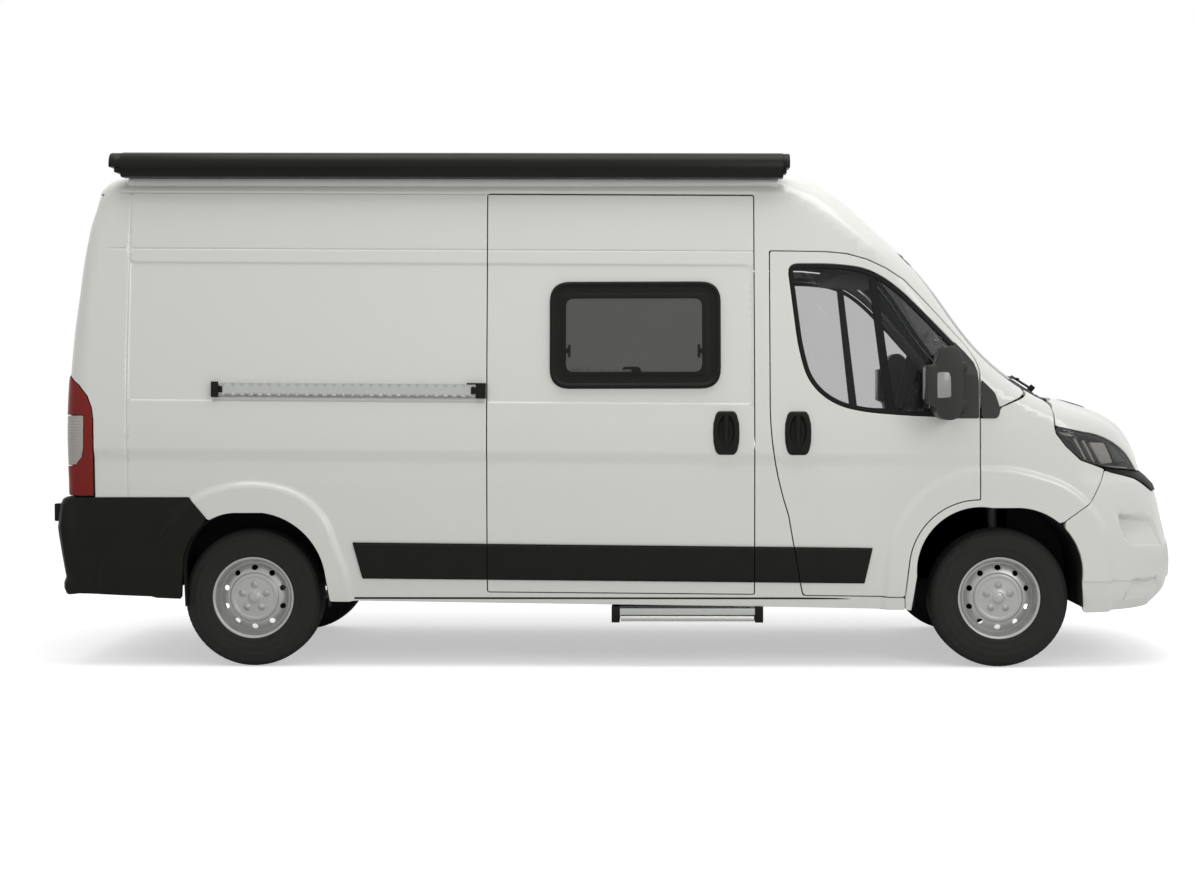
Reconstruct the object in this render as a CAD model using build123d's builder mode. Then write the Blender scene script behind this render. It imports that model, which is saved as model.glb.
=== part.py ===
"""Long-wheelbase high-roof camper van. Frame: +X forward, +Y to the left, +Z up, origin on the ground
under the middle of the vehicle. All sizes are in millimetres."""

import os
from math import atan2, cos, sin, sqrt

from build123d import *

os.makedirs("parts", exist_ok=True)

# ---------------------------------------------------------------- driving dimensions
LENGTH = 6166.0  # nose to the rubber buffers at the tail
WHEELBASE = 4035.0
FRONT_OVERHANG = 1044.0
FRONT_AXLE = LENGTH / 2 - FRONT_OVERHANG
REAR_AXLE = FRONT_AXLE - WHEELBASE
AXLES = {"front": FRONT_AXLE, "rear": REAR_AXLE}
SIDES = {"right": -1, "left": 1}
WALL = 60.0  # thickness of doors and walls
GAP = 6.0  # shut line round every opening panel
SEAT_GAP = 0.3  # running gap at hinges and seats
DOOR_PIN = (1928.0, 1033.0)  # x and |y| of the cab doors' hinge axis
DOOR_HINGES = (960.0, 1250.0)  # lower edges of the cab doors' hinge bosses
LEAF_INNER = 780.0  # nearest to the middle that a side door's leaf reaches
RAKE = 0.0085  # the body lines fall towards the nose by this slope
FLOOR_TOP = 600.0
FLOOR_THICK = 40.0
FLOOR_REAR = -2930.7  # meets the rear doors with a running gap
REACH = 1500.0  # half-width of every cutting block
SILL_REAR = (-1400.0, 357.0)  # lower edge of the body side, at its two ends
SILL_FRONT = (1560.0, 313.0)

# ---------------------------------------------------------------- body sections
# Horizontal sections of the outer skin, from the bottom up:
# height, half width, tail, nose, nose radius, nose corner radius, tail corner radius
SECTIONS = [
    (285, 975, -2950, 2990, 3500, 480, 90),
    (420, 1004, -2985, 3075, 3500, 480, 90),
    (545, 1018, -2990, 3083, 3500, 480, 90),
    (820, 1027, -2994, 3034, 3500, 480, 90),
    (990, 1027, -2993, 2985, 3500, 480, 90),
    (1046, 1026, -2995, 2932, 2900, 440, 90),
    (1130, 1024, -2999, 2908, 2600, 420, 90),
    (1270, 1019, -3003, 2830, 2400, 380, 90),
    (1343, 1014, -3003, 2735, 2400, 350, 90),
    (1399, 1009, -3002, 2596, 2400, 310, 90),
    (1466, 1004, -3000, 2376, 2600, 180, 90),
    (2223, 921, -2932, 1636, 2600, 130, 90),
    (2351, 907, -2908, 1492, 2600, 180, 90),
    (2474, 892, -2881, 1358, 2600, 240, 110),
    (2580, 875, -2860, 1224, 2600, 300, 140),
    (2664, 815, -2815, 1090, 2600, 350, 200),
    (2690, 560, -2750, 960, 2600, 350, 250),
    (2702, 260, -2550, 700, 2600, 200, 150),
]


def body_solid(wall=0.0):
    """The closed body, inset and lowered by a wall."""
    with BuildPart() as solid:
        for z, half, tail, nose, radius, corner, heel in SECTIONS:
            w, x_tail, x_nose = half - wall, tail + wall, nose - wall
            r_nose, r_corner, r_tail = radius - wall, max(corner - wall, 40), max(heel - wall, 25)
            y_corner = w - r_corner
            x_centre = x_nose - r_nose
            x_corner = x_centre + sqrt((r_nose - r_corner) ** 2 - y_corner**2)
            turn = atan2(y_corner, x_corner - x_centre)
            x_join, y_join = x_centre + r_nose * cos(turn), r_nose * sin(turn)
            middle = turn / 2 + atan2(1, 0) / 2
            x_bend, y_bend = x_corner + r_corner * cos(middle), y_corner + r_corner * sin(middle)
            diagonal = r_tail * (1 - sqrt(0.5))
            with BuildSketch(Plane.XY.offset(z - wall)):
                with BuildLine():
                    Line((x_tail, w - r_tail), (x_tail, r_tail - w))
                    ThreePointArc((x_tail, r_tail - w), (x_tail + diagonal, diagonal - w), (x_tail + r_tail, -w))
                    Line((x_tail + r_tail, -w), (x_corner, -w))
                    ThreePointArc((x_corner, -w), (x_bend, -y_bend), (x_join, -y_join))
                    ThreePointArc((x_join, -y_join), (x_nose, 0), (x_join, y_join))
                    ThreePointArc((x_join, y_join), (x_bend, y_bend), (x_corner, w))
                    Line((x_corner, w), (x_tail + r_tail, w))
                    ThreePointArc((x_tail + r_tail, w), (x_tail + diagonal, w - diagonal), (x_tail, w - r_tail))
                make_face()
        loft(ruled=True)
    return solid.part


def outline(path):
    """A closed outline's edges: (x, z) is a line's end, ((x, z), (x, z)) an arc's middle and end."""
    with BuildLine() as line:
        here = path[0]
        closing = [] if path[-1][-1] == path[0] else [path[0]]
        for step in path[1:] + closing:
            if isinstance(step[0], tuple):
                ThreePointArc(here, step[0], step[1])
                here = step[1]
            else:
                Line(here, step)
                here = step
    return line.edges()


def side_block(path, side, grow=0.0, inner=0.0, outer=REACH):
    """A side-view outline swept from one distance off the middle to another, on one side."""
    with BuildPart() as block:
        with BuildSketch(Plane.XZ.offset(-side * inner)):
            make_face(outline(path))
            if grow:
                offset(amount=grow, kind=Kind.INTERSECTION)
        extrude(amount=-side * (outer - inner))
    return block.part


def end_block(path, x_from, x_to, grow=0.0):
    """A front-view (y, z) outline swept along X."""
    with BuildPart() as block:
        with BuildSketch(Plane.YZ.offset(x_from)):
            make_face(outline(path))
            if grow:
                offset(amount=grow, kind=Kind.INTERSECTION)
        extrude(amount=x_to - x_from)
    return block.part


def box_between(low, high):
    """A box from its low corner to its high corner."""
    size = [b - a for a, b in zip(low, high)]
    middle = [(a + b) / 2 for a, b in zip(low, high)]
    return Pos(*middle) * Box(*size, mode=Mode.PRIVATE)


def raked(x, z):
    """A point on a body line whose height is z at x = 0."""
    return (x, z - RAKE * x)


def save(part, name):
    part.label = name
    export_step(part, f"parts/{name}.step")


# ---------------------------------------------------------------- side-view outlines
DOOR_FRONT = 1925.0
DOOR_REAR = 805.0
DOOR_TOP = 2247.0
DOOR = [
    (DOOR_REAR, DOOR_TOP), (1110, 2241), (1222, 2230), (1330, 2199), (1430, 2151), (1525, 2088), (1818, 1789),
    ((1898, 1690), (DOOR_FRONT, 1560)), (DOOR_FRONT, 908), ((1690, 828), (1550, 572)),
    (1529, 384), (983, 389), (967, 461), (903, 827), ((832, 1110), (DOOR_REAR, 1400)),
]  # fmt: skip
DOOR_WINDOW = [
    (925, 2158), (1240, 2150), (1395, 2107), (1525, 2029), (1655, 1900), (1835, 1712), (1868, 1600),
    (1720, 1356), (1290, 1398), (1185, 1418), (1098, 1480), (1015, 1600), (955, 1830),
]  # fmt: skip
SLIDE_REAR, SLIDE_FRONT = -718.0, 722.0
SLIDING = [raked(SLIDE_REAR, 2555), raked(SLIDE_FRONT, 2555), raked(SLIDE_FRONT, 401), raked(SLIDE_REAR, 401)]
FRONT_ARCH = [
    (1566, 250), (1593, 500), ((1705, 782), (1990, 862)), (2100, 862), ((2388, 740), (2470, 470)), (2478, 250),
]  # fmt: skip
REAR_ARCH = [
    (-2350, 250), (-2362, 560), ((-2272, 757), (-2060, 837)), (-1930, 837), ((-1700, 720), (-1595, 500)),
    (-1568, 250),
]  # fmt: skip
ARCHES = {"front": FRONT_ARCH, "rear": REAR_ARCH}
WELL_INNER = {"front": 530.0, "rear": 640.0}
WELL_ROOM = {"front": 0.0, "rear": 22.0}  # how far a well reaches round behind the edge of its arch
WELL_LIP = 984.0  # where the skin's own arch edge begins
LINER = 15.0  # sheet of the wheel housings
HEADLAMP_TOP = [(2345, 1295), (2480, 1268), ((2640, 1220), (2740, 1150)), (2812, 1052)]
HEADLAMP = HEADLAMP_TOP + [(2600, 1075), (2470, 1120)]
HEADLAMP_INNER = 600.0
BAND_TOP = 1052.0  # upper edge of the bumper's band
BONNET = [(2322, 1600)] + HEADLAMP_TOP + [(3300, BAND_TOP), (3300, 1600)]
BUMPER = [(3300, BAND_TOP), (2812, BAND_TOP), (2600, 1075), (2535, 905), (2385, 780), (2385, 200), (3300, 200)]
WING = [(DOOR_FRONT, 1345), (2322, 1440), (2600, 1440), (2700, 1000), (2700, 200), (1300, 200), (1300, 560),
        (1550, 572), ((1690, 828), (DOOR_FRONT, 908))]  # fmt: skip
TAIL_LAMP = [
    (-3100, 1590), (-2974, 1585), ((-2890, 1525), (-2862, 1430)), (-2860, 926), (-3100, 926),
]  # fmt: skip
CLADDING = [(-3200, 923), (-2354, 923), (-2224, 806), (-2224, 250), (-3200, 250)]
REAR_DOOR_EDGE = 838.0
REAR_DOOR_LOW, REAR_DOOR_HIGH = 560.0, 2568.0
REAR_WINDOW = {"inner": 95.0, "outer": 690.0, "low": 1480.0, "high": 2110.0}
ROOF = [(-3200, REAR_DOOR_HIGH + GAP), raked(1000, 2561), (1090, 2262), (1750, 2222),
        (1750, 2900), (-3200, 2900)]
B_PILLAR = 725.0  # where body sides and cab frame meet, in the sliding door's front gap
FIREWALL = 2150.0
DASH_TOP = 1380.0
SKIN = 30.0  # thickness of bonnet, wings and bumper
PANEL_INNER = 950.0  # inner face of the skirts below the floor
WINDOW = {"x0": -379.0, "x1": 542.0, "z0": 1505.0, "z1": 2083.0, "r": 90.0, "frame": 92.0, "pane_r": 36.0}
RAIL = {"x0": -2205.0, "x1": -700.0, "z": 1502.0, "height": 84.0, "out": 22.0}
MOULDING = [(-1447, 681), (1356, 652), (1313, 456), (-1394, 481)]
MOULDING_OUT = 12.0
HANDLES = {"sliding": (493.0, 644.0), "door": (882.0, 1023.0)}
HANDLE_LOW, HANDLE_HIGH, HANDLE_OUT = 1144.0, 1396.0, 36.0

# wheels
TYRE_RADIUS, TYRE_WIDTH, RIM_LIP = 374.0, 224.0, 228.0
WHEEL_Y = 863.0  # middle of the tyres
KINGPIN_Y = 800.0
DISC_THICK = 12.0
RIM_DISC_OUT = 60.0  # face of the wheel disc, outboard of the tyre's middle
HUB_RADIUS = 70.0

# underneath
RAIL_Y, RAIL_W, RAIL_Z = 430.0, 60.0, 430.0
STEP = {"x0": -49.0, "x1": 771.0, "z0": 242.0, "z1": 322.0, "y_out": -985.0, "y_in": -620.0}
STEP_PLATE = 12.0

# awning cassette
AWNING = {"x0": -2780.0, "x1": 898.0, "z0": 2640.0, "z1": 2781.0,
          "y_out": -992.0, "y_in": -852.0, "tilt": 0.34}

# tail: corner pads and the rear doors' lower hinges
PAD = [(-2980, 404), (-3040, 404), (-3047, 450), (-3026, 492), (-3058, 757), (-3036, 914), (-2980, 914)]
PAD_INNER, PAD_OUTER = 846.0, 955.0
HINGE_PIN = (-3066.0, 852.0)
HINGE_LOW, HINGE_HIGH = 800.0, 872.0
PIN_R = 7.0
HINGE_LEAN = 0.059  # slope of the rear doors' hinge axis, forward as it rises
MEETING = 5.5  # from the middle to each rear door's edge, at the skin

# door clearances, mirrors, brackets and cab
EDGE = 14.0  # the floor stops this far short of the opening doors
DOOR_SWING = 1139.0  # about the cab door's pin: above SWING_FROM the pillar behind stays outside this
SWING_FROM = 1850.0
ARM_ROOM = (505.0, 560.0, 440.0)  # |y| from and to, and height, left free for the lower arms
BRACKETS = (-2350.0, -950.0, 500.0)  # x of the awning's brackets
MIRROR = {"x0": 1650.0, "x1": 1850.0, "y_in": 1062.0, "y_out": 1254.0, "z0": 1347.0, "z1": 1722.0}
# foot of a door mirror
SAIL = [(1890, 1560), (DOOR_FRONT - 2, 1500), (DOOR_FRONT - 2, 1368), (1726, 1360)]
TOW = {"x": -2900.0, "z": 470.0, "y_pitch": 120.0, "z_pitch": 60.0, "r": 7.0}  # bolt holes for a tow bar
TOW_PLATE = 12.0
PADS = {"front": 1150.0, "rear": -1250.0}  # x of the jacking pads
SPRING_Y = 580.0  # middle of the leaf springs
SEAT = {"x0": 900.0, "x1": 1380.0, "y": 450.0, "half": 250.0, "base": 880.0, "top": 1010.0}
WHEEL_CENTRE = (1620.0, 450.0, 1225.0)  # of the steering wheel

# ---------------------------------------------------------------- the hollow body
outer = body_solid()
inner = body_solid(WALL)
bay = body_solid(SKIN)
glass_out, glass_in = body_solid(12), body_solid(19)
proud = {out: body_solid(-out) for out in (MOULDING_OUT, RAIL["out"], HANDLE_OUT)}


def rounded(x0, x1, z0, z1, r):
    """A raked rectangle with rounded corners."""
    k = r * (1 - sqrt(0.5))
    return [
        raked(x0 + r, z0), raked(x1 - r, z0), (raked(x1 - k, z0 + k), raked(x1, z0 + r)),
        raked(x1, z1 - r), (raked(x1 - k, z1 - k), raked(x1 - r, z1)),
        raked(x0 + r, z1), (raked(x0 + k, z1 - k), raked(x0, z1 - r)),
        raked(x0, z0 + r), (raked(x0 + k, z0 + k), raked(x0 + r, z0)),
    ]  # fmt: skip


with BuildPart() as cabin:
    add(inner)
    add(box_between((-REACH * 3, -REACH, 0), (REACH * 3, REACH, FLOOR_TOP)), mode=Mode.SUBTRACT)
    add(box_between((FIREWALL, -REACH, 0), (REACH * 3, REACH, DASH_TOP)), mode=Mode.SUBTRACT)

with BuildPart() as engine_bay:
    add(bay)
    add(box_between((FIREWALL + SKIN, -REACH, 200), (REACH * 3, REACH, DASH_TOP)), mode=Mode.INTERSECT)

UNDERSIDE = [
    (-3200, 100), (-3200, 412), (-2350, 380), (-1568, 358), SILL_REAR, SILL_FRONT, (2478, 290), (3200, 290),
    (3200, 100),
]  # fmt: skip
under_box = box_between(
    (-2994 + WALL, -PANEL_INNER, 0), (FIREWALL + SKIN + 1, PANEL_INNER, FLOOR_TOP - FLOOR_THICK)
)
with BuildPart() as body:
    add(outer)
    for side in SIDES.values():
        add(side_block(UNDERSIDE, side), mode=Mode.SUBTRACT)
housings, wells = {}, {}
for axle, arch in ARCHES.items():
    room, depth = WELL_ROOM[axle], WELL_INNER[axle]
    housings[axle] = [side_block(arch, side, grow=room + LINER, inner=depth - LINER)
                      for side in SIDES.values()]
    wells[axle] = [side_block(arch, side, inner=depth) for side in SIDES.values()]
    if room:
        wells[axle] = [
            well + side_block(arch, side, grow=room, inner=depth, outer=WELL_LIP)
            for side, well in zip(SIDES.values(), wells[axle])
        ]


def hollow(solid, axles=(), bay_too=False, cavity=cabin.part):
    """A piece of the closed body with the cab, the living space, the engine bay and the wheel wells taken out."""
    piece = solid - cavity
    piece = piece - under_box
    if bay_too:
        piece = piece - engine_bay.part
    for axle in axles:
        for housing, well in zip(housings[axle], wells[axle]):
            sheet = solid & housing
            if sheet and sheet.volume > 1:
                piece = piece + sheet
                piece = piece - well
    return piece


def side_cavity(extra=0.0):
    """What lies between the side walls, as a prism along X, drawn in at both sides by extra."""
    rows = [(row[0] - WALL, row[1] - WALL - extra) for row in SECTIONS if row[0] < 2680]
    right, left = [(-w, z) for z, w in rows], [(w, z) for z, w in rows]
    return end_block(right + left[::-1], -3300, 3300)


def tail_cavity(extra=0.0):
    """What lies in front of the rear wall, as a prism across the body."""
    rows = [(row[2] + WALL + extra, row[0] - WALL) for row in SECTIONS if row[0] < 2680]
    return side_block(rows + [(0, rows[-1][1]), (0, rows[0][1])], 1, inner=-REACH)


def side_solid(side):
    """One side of the body as a plain prism along X, for the leaves of its doors."""
    line = [(side * row[1], row[0]) for row in SECTIONS if row[0] < 2600]
    return end_block([(0, line[0][1])] + line + [(0, line[-1][1])], -3300, 3300)


between, between_gap = side_cavity(), side_cavity(GAP)
ahead, ahead_gap = tail_cavity(), tail_cavity(GAP)
rest = body.part

# ---------------------------------------------------------------- cab doors, glass, handles
for name, side in SIDES.items():
    with BuildPart() as cab_door:
        add(hollow(side_solid(side) & side_block(DOOR, side, inner=LEAF_INNER), cavity=between))
        add(side_block(DOOR_WINDOW, side), mode=Mode.SUBTRACT)
    rest = rest - (side_block(DOOR, side, grow=GAP, inner=LEAF_INNER - GAP) - between_gap)
    save(cab_door.part, f"cab_door_{name}")
    with BuildPart() as cab_door_moulding:
        add((proud[MOULDING_OUT] & (side_block(DOOR, side) & side_block(MOULDING, side))) - outer)
    save(cab_door_moulding.part, f"cab_door_moulding_{name}")
    with BuildPart() as cab_door_glass:
        add((glass_out & side_block(DOOR_WINDOW, side)) - glass_in)
    save(cab_door_glass.part, f"cab_door_glass_{name}")
    x0, x1 = HANDLES["door"]
    with BuildPart() as door_handle:
        add((proud[HANDLE_OUT] & side_block(rounded(x0, x1, HANDLE_LOW, HANDLE_HIGH, 45), side)) - outer)
    save(door_handle.part, f"cab_door_handle_{name}")

# ---------------------------------------------------------------- sliding door with its window and rail
frame_path = rounded(WINDOW["x0"], WINDOW["x1"], WINDOW["z0"], WINDOW["z1"], WINDOW["r"])
edge = WINDOW["frame"]
pane_path = rounded(
    WINDOW["x0"] + edge, WINDOW["x1"] - edge, WINDOW["z0"] + edge, WINDOW["z1"] - edge, WINDOW["pane_r"]
)
with BuildPart() as sliding_door:
    add(hollow(side_solid(-1) & side_block(SLIDING, -1, inner=LEAF_INNER), cavity=between))
    add(side_block(frame_path, -1), mode=Mode.SUBTRACT)
rest = rest - (side_block(SLIDING, -1, grow=GAP, inner=LEAF_INNER - GAP) - between_gap)
save(sliding_door.part, "sliding_door")
with BuildPart() as side_window_frame:
    add((proud[MOULDING_OUT] & side_block(frame_path, -1)) - glass_in)
    add(side_block(pane_path, -1), mode=Mode.SUBTRACT)
save(side_window_frame.part, "side_window_frame")
with BuildPart() as side_window_pane:
    add((outer & side_block(pane_path, -1)) - glass_in)
save(side_window_pane.part, "side_window_pane")
x0, x1 = HANDLES["sliding"]
with BuildPart() as sliding_door_handle:
    add((proud[HANDLE_OUT] & side_block(rounded(x0, x1, HANDLE_LOW, HANDLE_HIGH, 45), -1)) - outer)
save(sliding_door_handle.part, "sliding_door_handle")
z0, z1 = RAIL["z"] - RAIL["height"] / 2, RAIL["z"] + RAIL["height"] / 2
with BuildPart() as slide_rail:
    corners = [(RAIL["x0"], z0), (RAIL["x1"], z0), (RAIL["x1"], z1), (RAIL["x0"], z1)]
    add((proud[RAIL["out"]] & side_block([raked(x, z) for x, z in corners], -1)) - outer)
save(slide_rail.part, "slide_rail")

# ---------------------------------------------------------------- rear doors
def hinge_plane(side):
    """Square to a rear door's pin, half-way up its lower hinge; the pin leans forward like the doors."""
    middle = (HINGE_PIN[0], side * HINGE_PIN[1], (HINGE_LOW + HINGE_HIGH) / 2)
    return Plane(origin=middle, x_dir=(1, 0, -HINGE_LEAN), z_dir=(HINGE_LEAN, 0, 1))


for name, side in SIDES.items():
    leaf = box_between(
        (-3300, min(side * GAP / 2, side * REAR_DOOR_EDGE), REAR_DOOR_LOW),
        (-2770, max(side * GAP / 2, side * REAR_DOOR_EDGE), REAR_DOOR_HIGH),
    )
    y_lo, y_hi = sorted((side * REAR_WINDOW["inner"], side * REAR_WINDOW["outer"]))
    pane = box_between((-3300, y_lo, REAR_WINDOW["low"]), (-2500, y_hi, REAR_WINDOW["high"]))
    with BuildPart() as rear_door:
        add(hollow(rest & leaf, cavity=ahead))
        add(pane, mode=Mode.SUBTRACT)
        with BuildSketch():
            edge_y = [(-3300, 0), (-3300, MEETING), (-2994, MEETING), (-2700, MEETING + 56),
                      (-2700, 0), (-3300, 0)]
            with BuildLine():
                Polyline(*[(px, side * py) for px, py in edge_y])
            make_face()
        extrude(amount=3000, mode=Mode.SUBTRACT)
        with BuildSketch(hinge_plane(side)):
            with BuildLine():
                Polyline((-4, -side * 15), (86, -side * 62), (86, -side * 22), (15, -side * 12),
                         (-4, -side * 15))
            make_face()
            Circle(16)
            Circle(PIN_R + SEAT_GAP, mode=Mode.SUBTRACT)
        extrude(amount=(HINGE_HIGH - HINGE_LOW) / 2 - 5, both=True)
    save(rear_door.part, f"rear_door_{name}")
    with BuildPart() as rear_door_glass:
        add((glass_out & pane) - glass_in)
    save(rear_door_glass.part, f"rear_door_glass_{name}")
hole = box_between(
    (-3300, -REAR_DOOR_EDGE - GAP, REAR_DOOR_LOW - GAP),
    (-2770 + GAP, REAR_DOOR_EDGE + GAP, REAR_DOOR_HIGH + GAP),
)
rest = rest - (hole - ahead_gap)

floor_box = box_between((-2994 + WALL, -PANEL_INNER, 0), (FIREWALL, PANEL_INNER, 890))
rest = rest - floor_box

# ---------------------------------------------------------------- roof, nose, lamps, bumpers
with BuildPart() as roof_panel:
    add(hollow(rest & side_block(ROOF, 1, inner=-REACH)))
rest = rest - side_block(ROOF, 1, inner=-REACH)
save(roof_panel.part, "roof_panel")

with BuildPart() as headlamps:
    for side in SIDES.values():
        add(hollow(rest & side_block(HEADLAMP, side, inner=HEADLAMP_INNER), bay_too=True))
save(headlamps.part, "headlamps")
for side in SIDES.values():
    rest = rest - side_block(HEADLAMP, side, inner=HEADLAMP_INNER)

with BuildPart() as bonnet_block:
    add(side_block(BONNET, 1, inner=-REACH))
    with BuildSketch():
        with BuildLine():
            ThreePointArc((2300, -860), (2428, 0), (2300, 860))
            Polyline((2300, 860), (2300, 1500), (3300, 1500), (3300, -1500), (2300, -1500), (2300, -860))
        make_face()
    extrude(amount=3000, mode=Mode.INTERSECT)
with BuildPart() as bonnet:
    add(hollow(rest & bonnet_block.part, bay_too=True))
save(bonnet.part, "bonnet")
with BuildPart() as bonnet_gap:
    add(side_block(BONNET, 1, grow=GAP, inner=-REACH))
    with BuildSketch():
        with BuildLine():
            ThreePointArc((2293, -860), (2421, 0), (2293, 860))
            Polyline((2293, 860), (2293, 1500), (3300, 1500), (3300, -1500), (2293, -1500), (2293, -860))
        make_face()
    extrude(amount=3000, mode=Mode.INTERSECT)
rest = rest - bonnet_gap.part

with BuildPart() as front_bumper:
    add(hollow(rest & side_block(BUMPER, 1, inner=-REACH), axles=["front"], bay_too=True))
save(front_bumper.part, "front_bumper")
rest = rest - side_block(BUMPER, 1, inner=-REACH)

with BuildPart() as front_wings:
    for side in SIDES.values():
        add(hollow(rest & side_block(WING, side, inner=PANEL_INNER - 120), axles=["front"], bay_too=True))
        for z in DOOR_HINGES:
            low, high = sorted((side * 972, side * 1000))
            add(box_between((DOOR_FRONT + SEAT_GAP, low, z), (DOOR_FRONT + GAP + 12, high, z + 50)))
save(front_wings.part, "front_wings")
for side in SIDES.values():
    rest = rest - side_block(WING, side, inner=PANEL_INNER - 120)

screen = end_block([(-850, 1480), (850, 1480), (770, 2200), (-770, 2200)], 1400, 2700)
with BuildPart() as windscreen:
    add((glass_out & screen) - glass_in)
save(windscreen.part, "windscreen")
rest = rest - screen

with BuildPart() as tail_lamps:
    for side in SIDES.values():
        add(hollow(rest & side_block(TAIL_LAMP, side, inner=846)))
save(tail_lamps.part, "tail_lamps")
for side in SIDES.values():
    rest = rest - side_block(TAIL_LAMP, side, inner=846)

claddings = {side: rest & side_block(CLADDING, side, inner=PANEL_INNER - 110) for side in SIDES.values()}
for side in SIDES.values():
    rest = rest - side_block(CLADDING, side, inner=PANEL_INNER - 110)
apron = rest & box_between((-3200, -REACH, 200), (-2994 + WALL, REACH, REAR_DOOR_LOW - GAP))
rest = rest - box_between((-3200, -REACH, 200), (-2994 + WALL, REACH, REAR_DOOR_LOW - GAP))
with BuildPart() as rear_bumper:
    for piece in claddings.values():
        add(hollow(piece, axles=["rear"]))
    add(apron)
    for side in SIDES.values():
        add(side_block(PAD, side, inner=PAD_INNER, outer=PAD_OUTER))
    add(side_block([(-2980, 404), (-3040, 404), (-3046, 470), (-3040, 546), (-2980, 546)], 1, inner=-PAD_INNER - 1,
                   outer=PAD_INNER + 1))  # fmt: skip
    for side in SIDES.values():
        x, y = HINGE_PIN[0], side * HINGE_PIN[1]
        low, high = sorted((side * (HINGE_PIN[1] - 9), side * (HINGE_PIN[1] + 30)))
        add(box_between((x - 22, low, HINGE_LOW - 10), (x + 22, high, HINGE_HIGH + 10)), mode=Mode.SUBTRACT)
        for z0, z1 in ((HINGE_LOW - 14, HINGE_LOW), (HINGE_HIGH, HINGE_HIGH + 14)):
            add(box_between((-LENGTH / 2, low, z0), (-3030, high, z1)))
        with BuildSketch(hinge_plane(side)):
            Circle(PIN_R)
        extrude(amount=(HINGE_HIGH - HINGE_LOW) / 2 + 2, both=True)
save(rear_bumper.part, "rear_bumper")

# ---------------------------------------------------------------- floor, cab frame, body sides
with BuildPart() as floor_pan:
    add(box_between((FLOOR_REAR, -PANEL_INNER, FLOOR_TOP - FLOOR_THICK), (FIREWALL, PANEL_INNER, FLOOR_TOP)))
    for side in SIDES.values():
        low, high = sorted((side * (PANEL_INNER - EDGE), side * REACH))
        add(box_between((DOOR_REAR - GAP, low, 0), (FIREWALL, high, 3000)), mode=Mode.SUBTRACT)
        if side < 0:
            add(box_between((SLIDE_REAR - GAP, low, 0), (SLIDE_FRONT + GAP, high, 3000)), mode=Mode.SUBTRACT)
    for axle in ARCHES:
        for side, housing, well in zip(SIDES.values(), housings[axle], wells[axle]):
            limit = PANEL_INNER - EDGE if axle == "front" else PANEL_INNER
            low, high = sorted((0, side * limit))
            cage = box_between((-3300, low, FLOOR_TOP - FLOOR_THICK - 120), (FIREWALL, high, 3000))
            add(housing & cage)
            add(well, mode=Mode.SUBTRACT)
save(floor_pan.part, "floor_pan")

with BuildPart() as cab_frame:
    add(hollow(rest & box_between((B_PILLAR, -REACH, 0), (3300, REACH, 3000)), axles=["front"], bay_too=True))
    for side in SIDES.values():
        low, high = sorted((side * ARM_ROOM[0], side * ARM_ROOM[1]))
        add(box_between((FIREWALL - 1, low, 0), (2600, high, ARM_ROOM[2])), mode=Mode.SUBTRACT)
        low, high = sorted((side * LEAF_INNER, side * REACH))
        with BuildSketch(Plane.XY.offset(SWING_FROM)):
            with Locations((DOOR_PIN[0], side * DOOR_PIN[1])):
                Circle(DOOR_SWING)
            with Locations(((DOOR_REAR + B_PILLAR) / 2, (low + high) / 2)):
                Rectangle(DOOR_REAR - B_PILLAR, high - low, mode=Mode.INTERSECT)
        extrude(amount=DOOR_TOP + GAP - SWING_FROM, mode=Mode.SUBTRACT)
save(cab_frame.part, "cab_frame")
for name, side in SIDES.items():
    low, high = sorted((0, side * REACH))
    with BuildPart() as side_panel:
        add(hollow(rest & box_between((-3300, low, 0), (B_PILLAR, high, 3000)), axles=["rear"]))
    save(side_panel.part, f"side_panel_{name}")

# ---------------------------------------------------------------- side mouldings, awning, step
with BuildPart() as side_mouldings:
    for side in SIDES.values():
        strip = (proud[MOULDING_OUT] & side_block(MOULDING, side)) - outer
        strip = strip - side_block(DOOR, side, grow=GAP)
        if side < 0:
            strip = strip - box_between((SLIDE_REAR - GAP, -REACH, 0), (SLIDE_REAR, 0, 3000))
            strip = strip - box_between((SLIDE_FRONT, -REACH, 0), (DOOR_REAR, 0, 3000))
        add(strip)
save(side_mouldings.part, "side_mouldings")

with BuildPart() as awning_cassette:
    y0, y1, z0, z1 = AWNING["y_out"], AWNING["y_in"], AWNING["z0"], AWNING["z1"]
    with BuildSketch(Plane.YZ.offset(AWNING["x0"])):
        with BuildLine():
            Line((y1, z0 + 16), (y1, z1 - 14))
            ThreePointArc((y1, z1 - 14), (y1 - 4, z1 - 4), (y1 - 14, z1))
            Line((y1 - 14, z1), (y0 + 62, z1 - 8))
            ThreePointArc((y0 + 62, z1 - 8), (y0 + 8, z1 - 62), (y0 + 22, z0 + 10))
            Line((y0 + 22, z0 + 10), (y0 + 44, z0))
            Line((y0 + 44, z0), (y1, z0 + 16))
        make_face()
    extrude(amount=AWNING["x1"] - AWNING["x0"])
cassette = Rot(0, AWNING["tilt"], 0) * awning_cassette.part
with BuildPart() as awning:
    add(cassette)
    for x in BRACKETS:
        add(box_between((x - 60, AWNING["y_in"] - 2, 2600), (x + 60, -640, 2716)) - outer)
save(awning.part, "awning")

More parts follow.
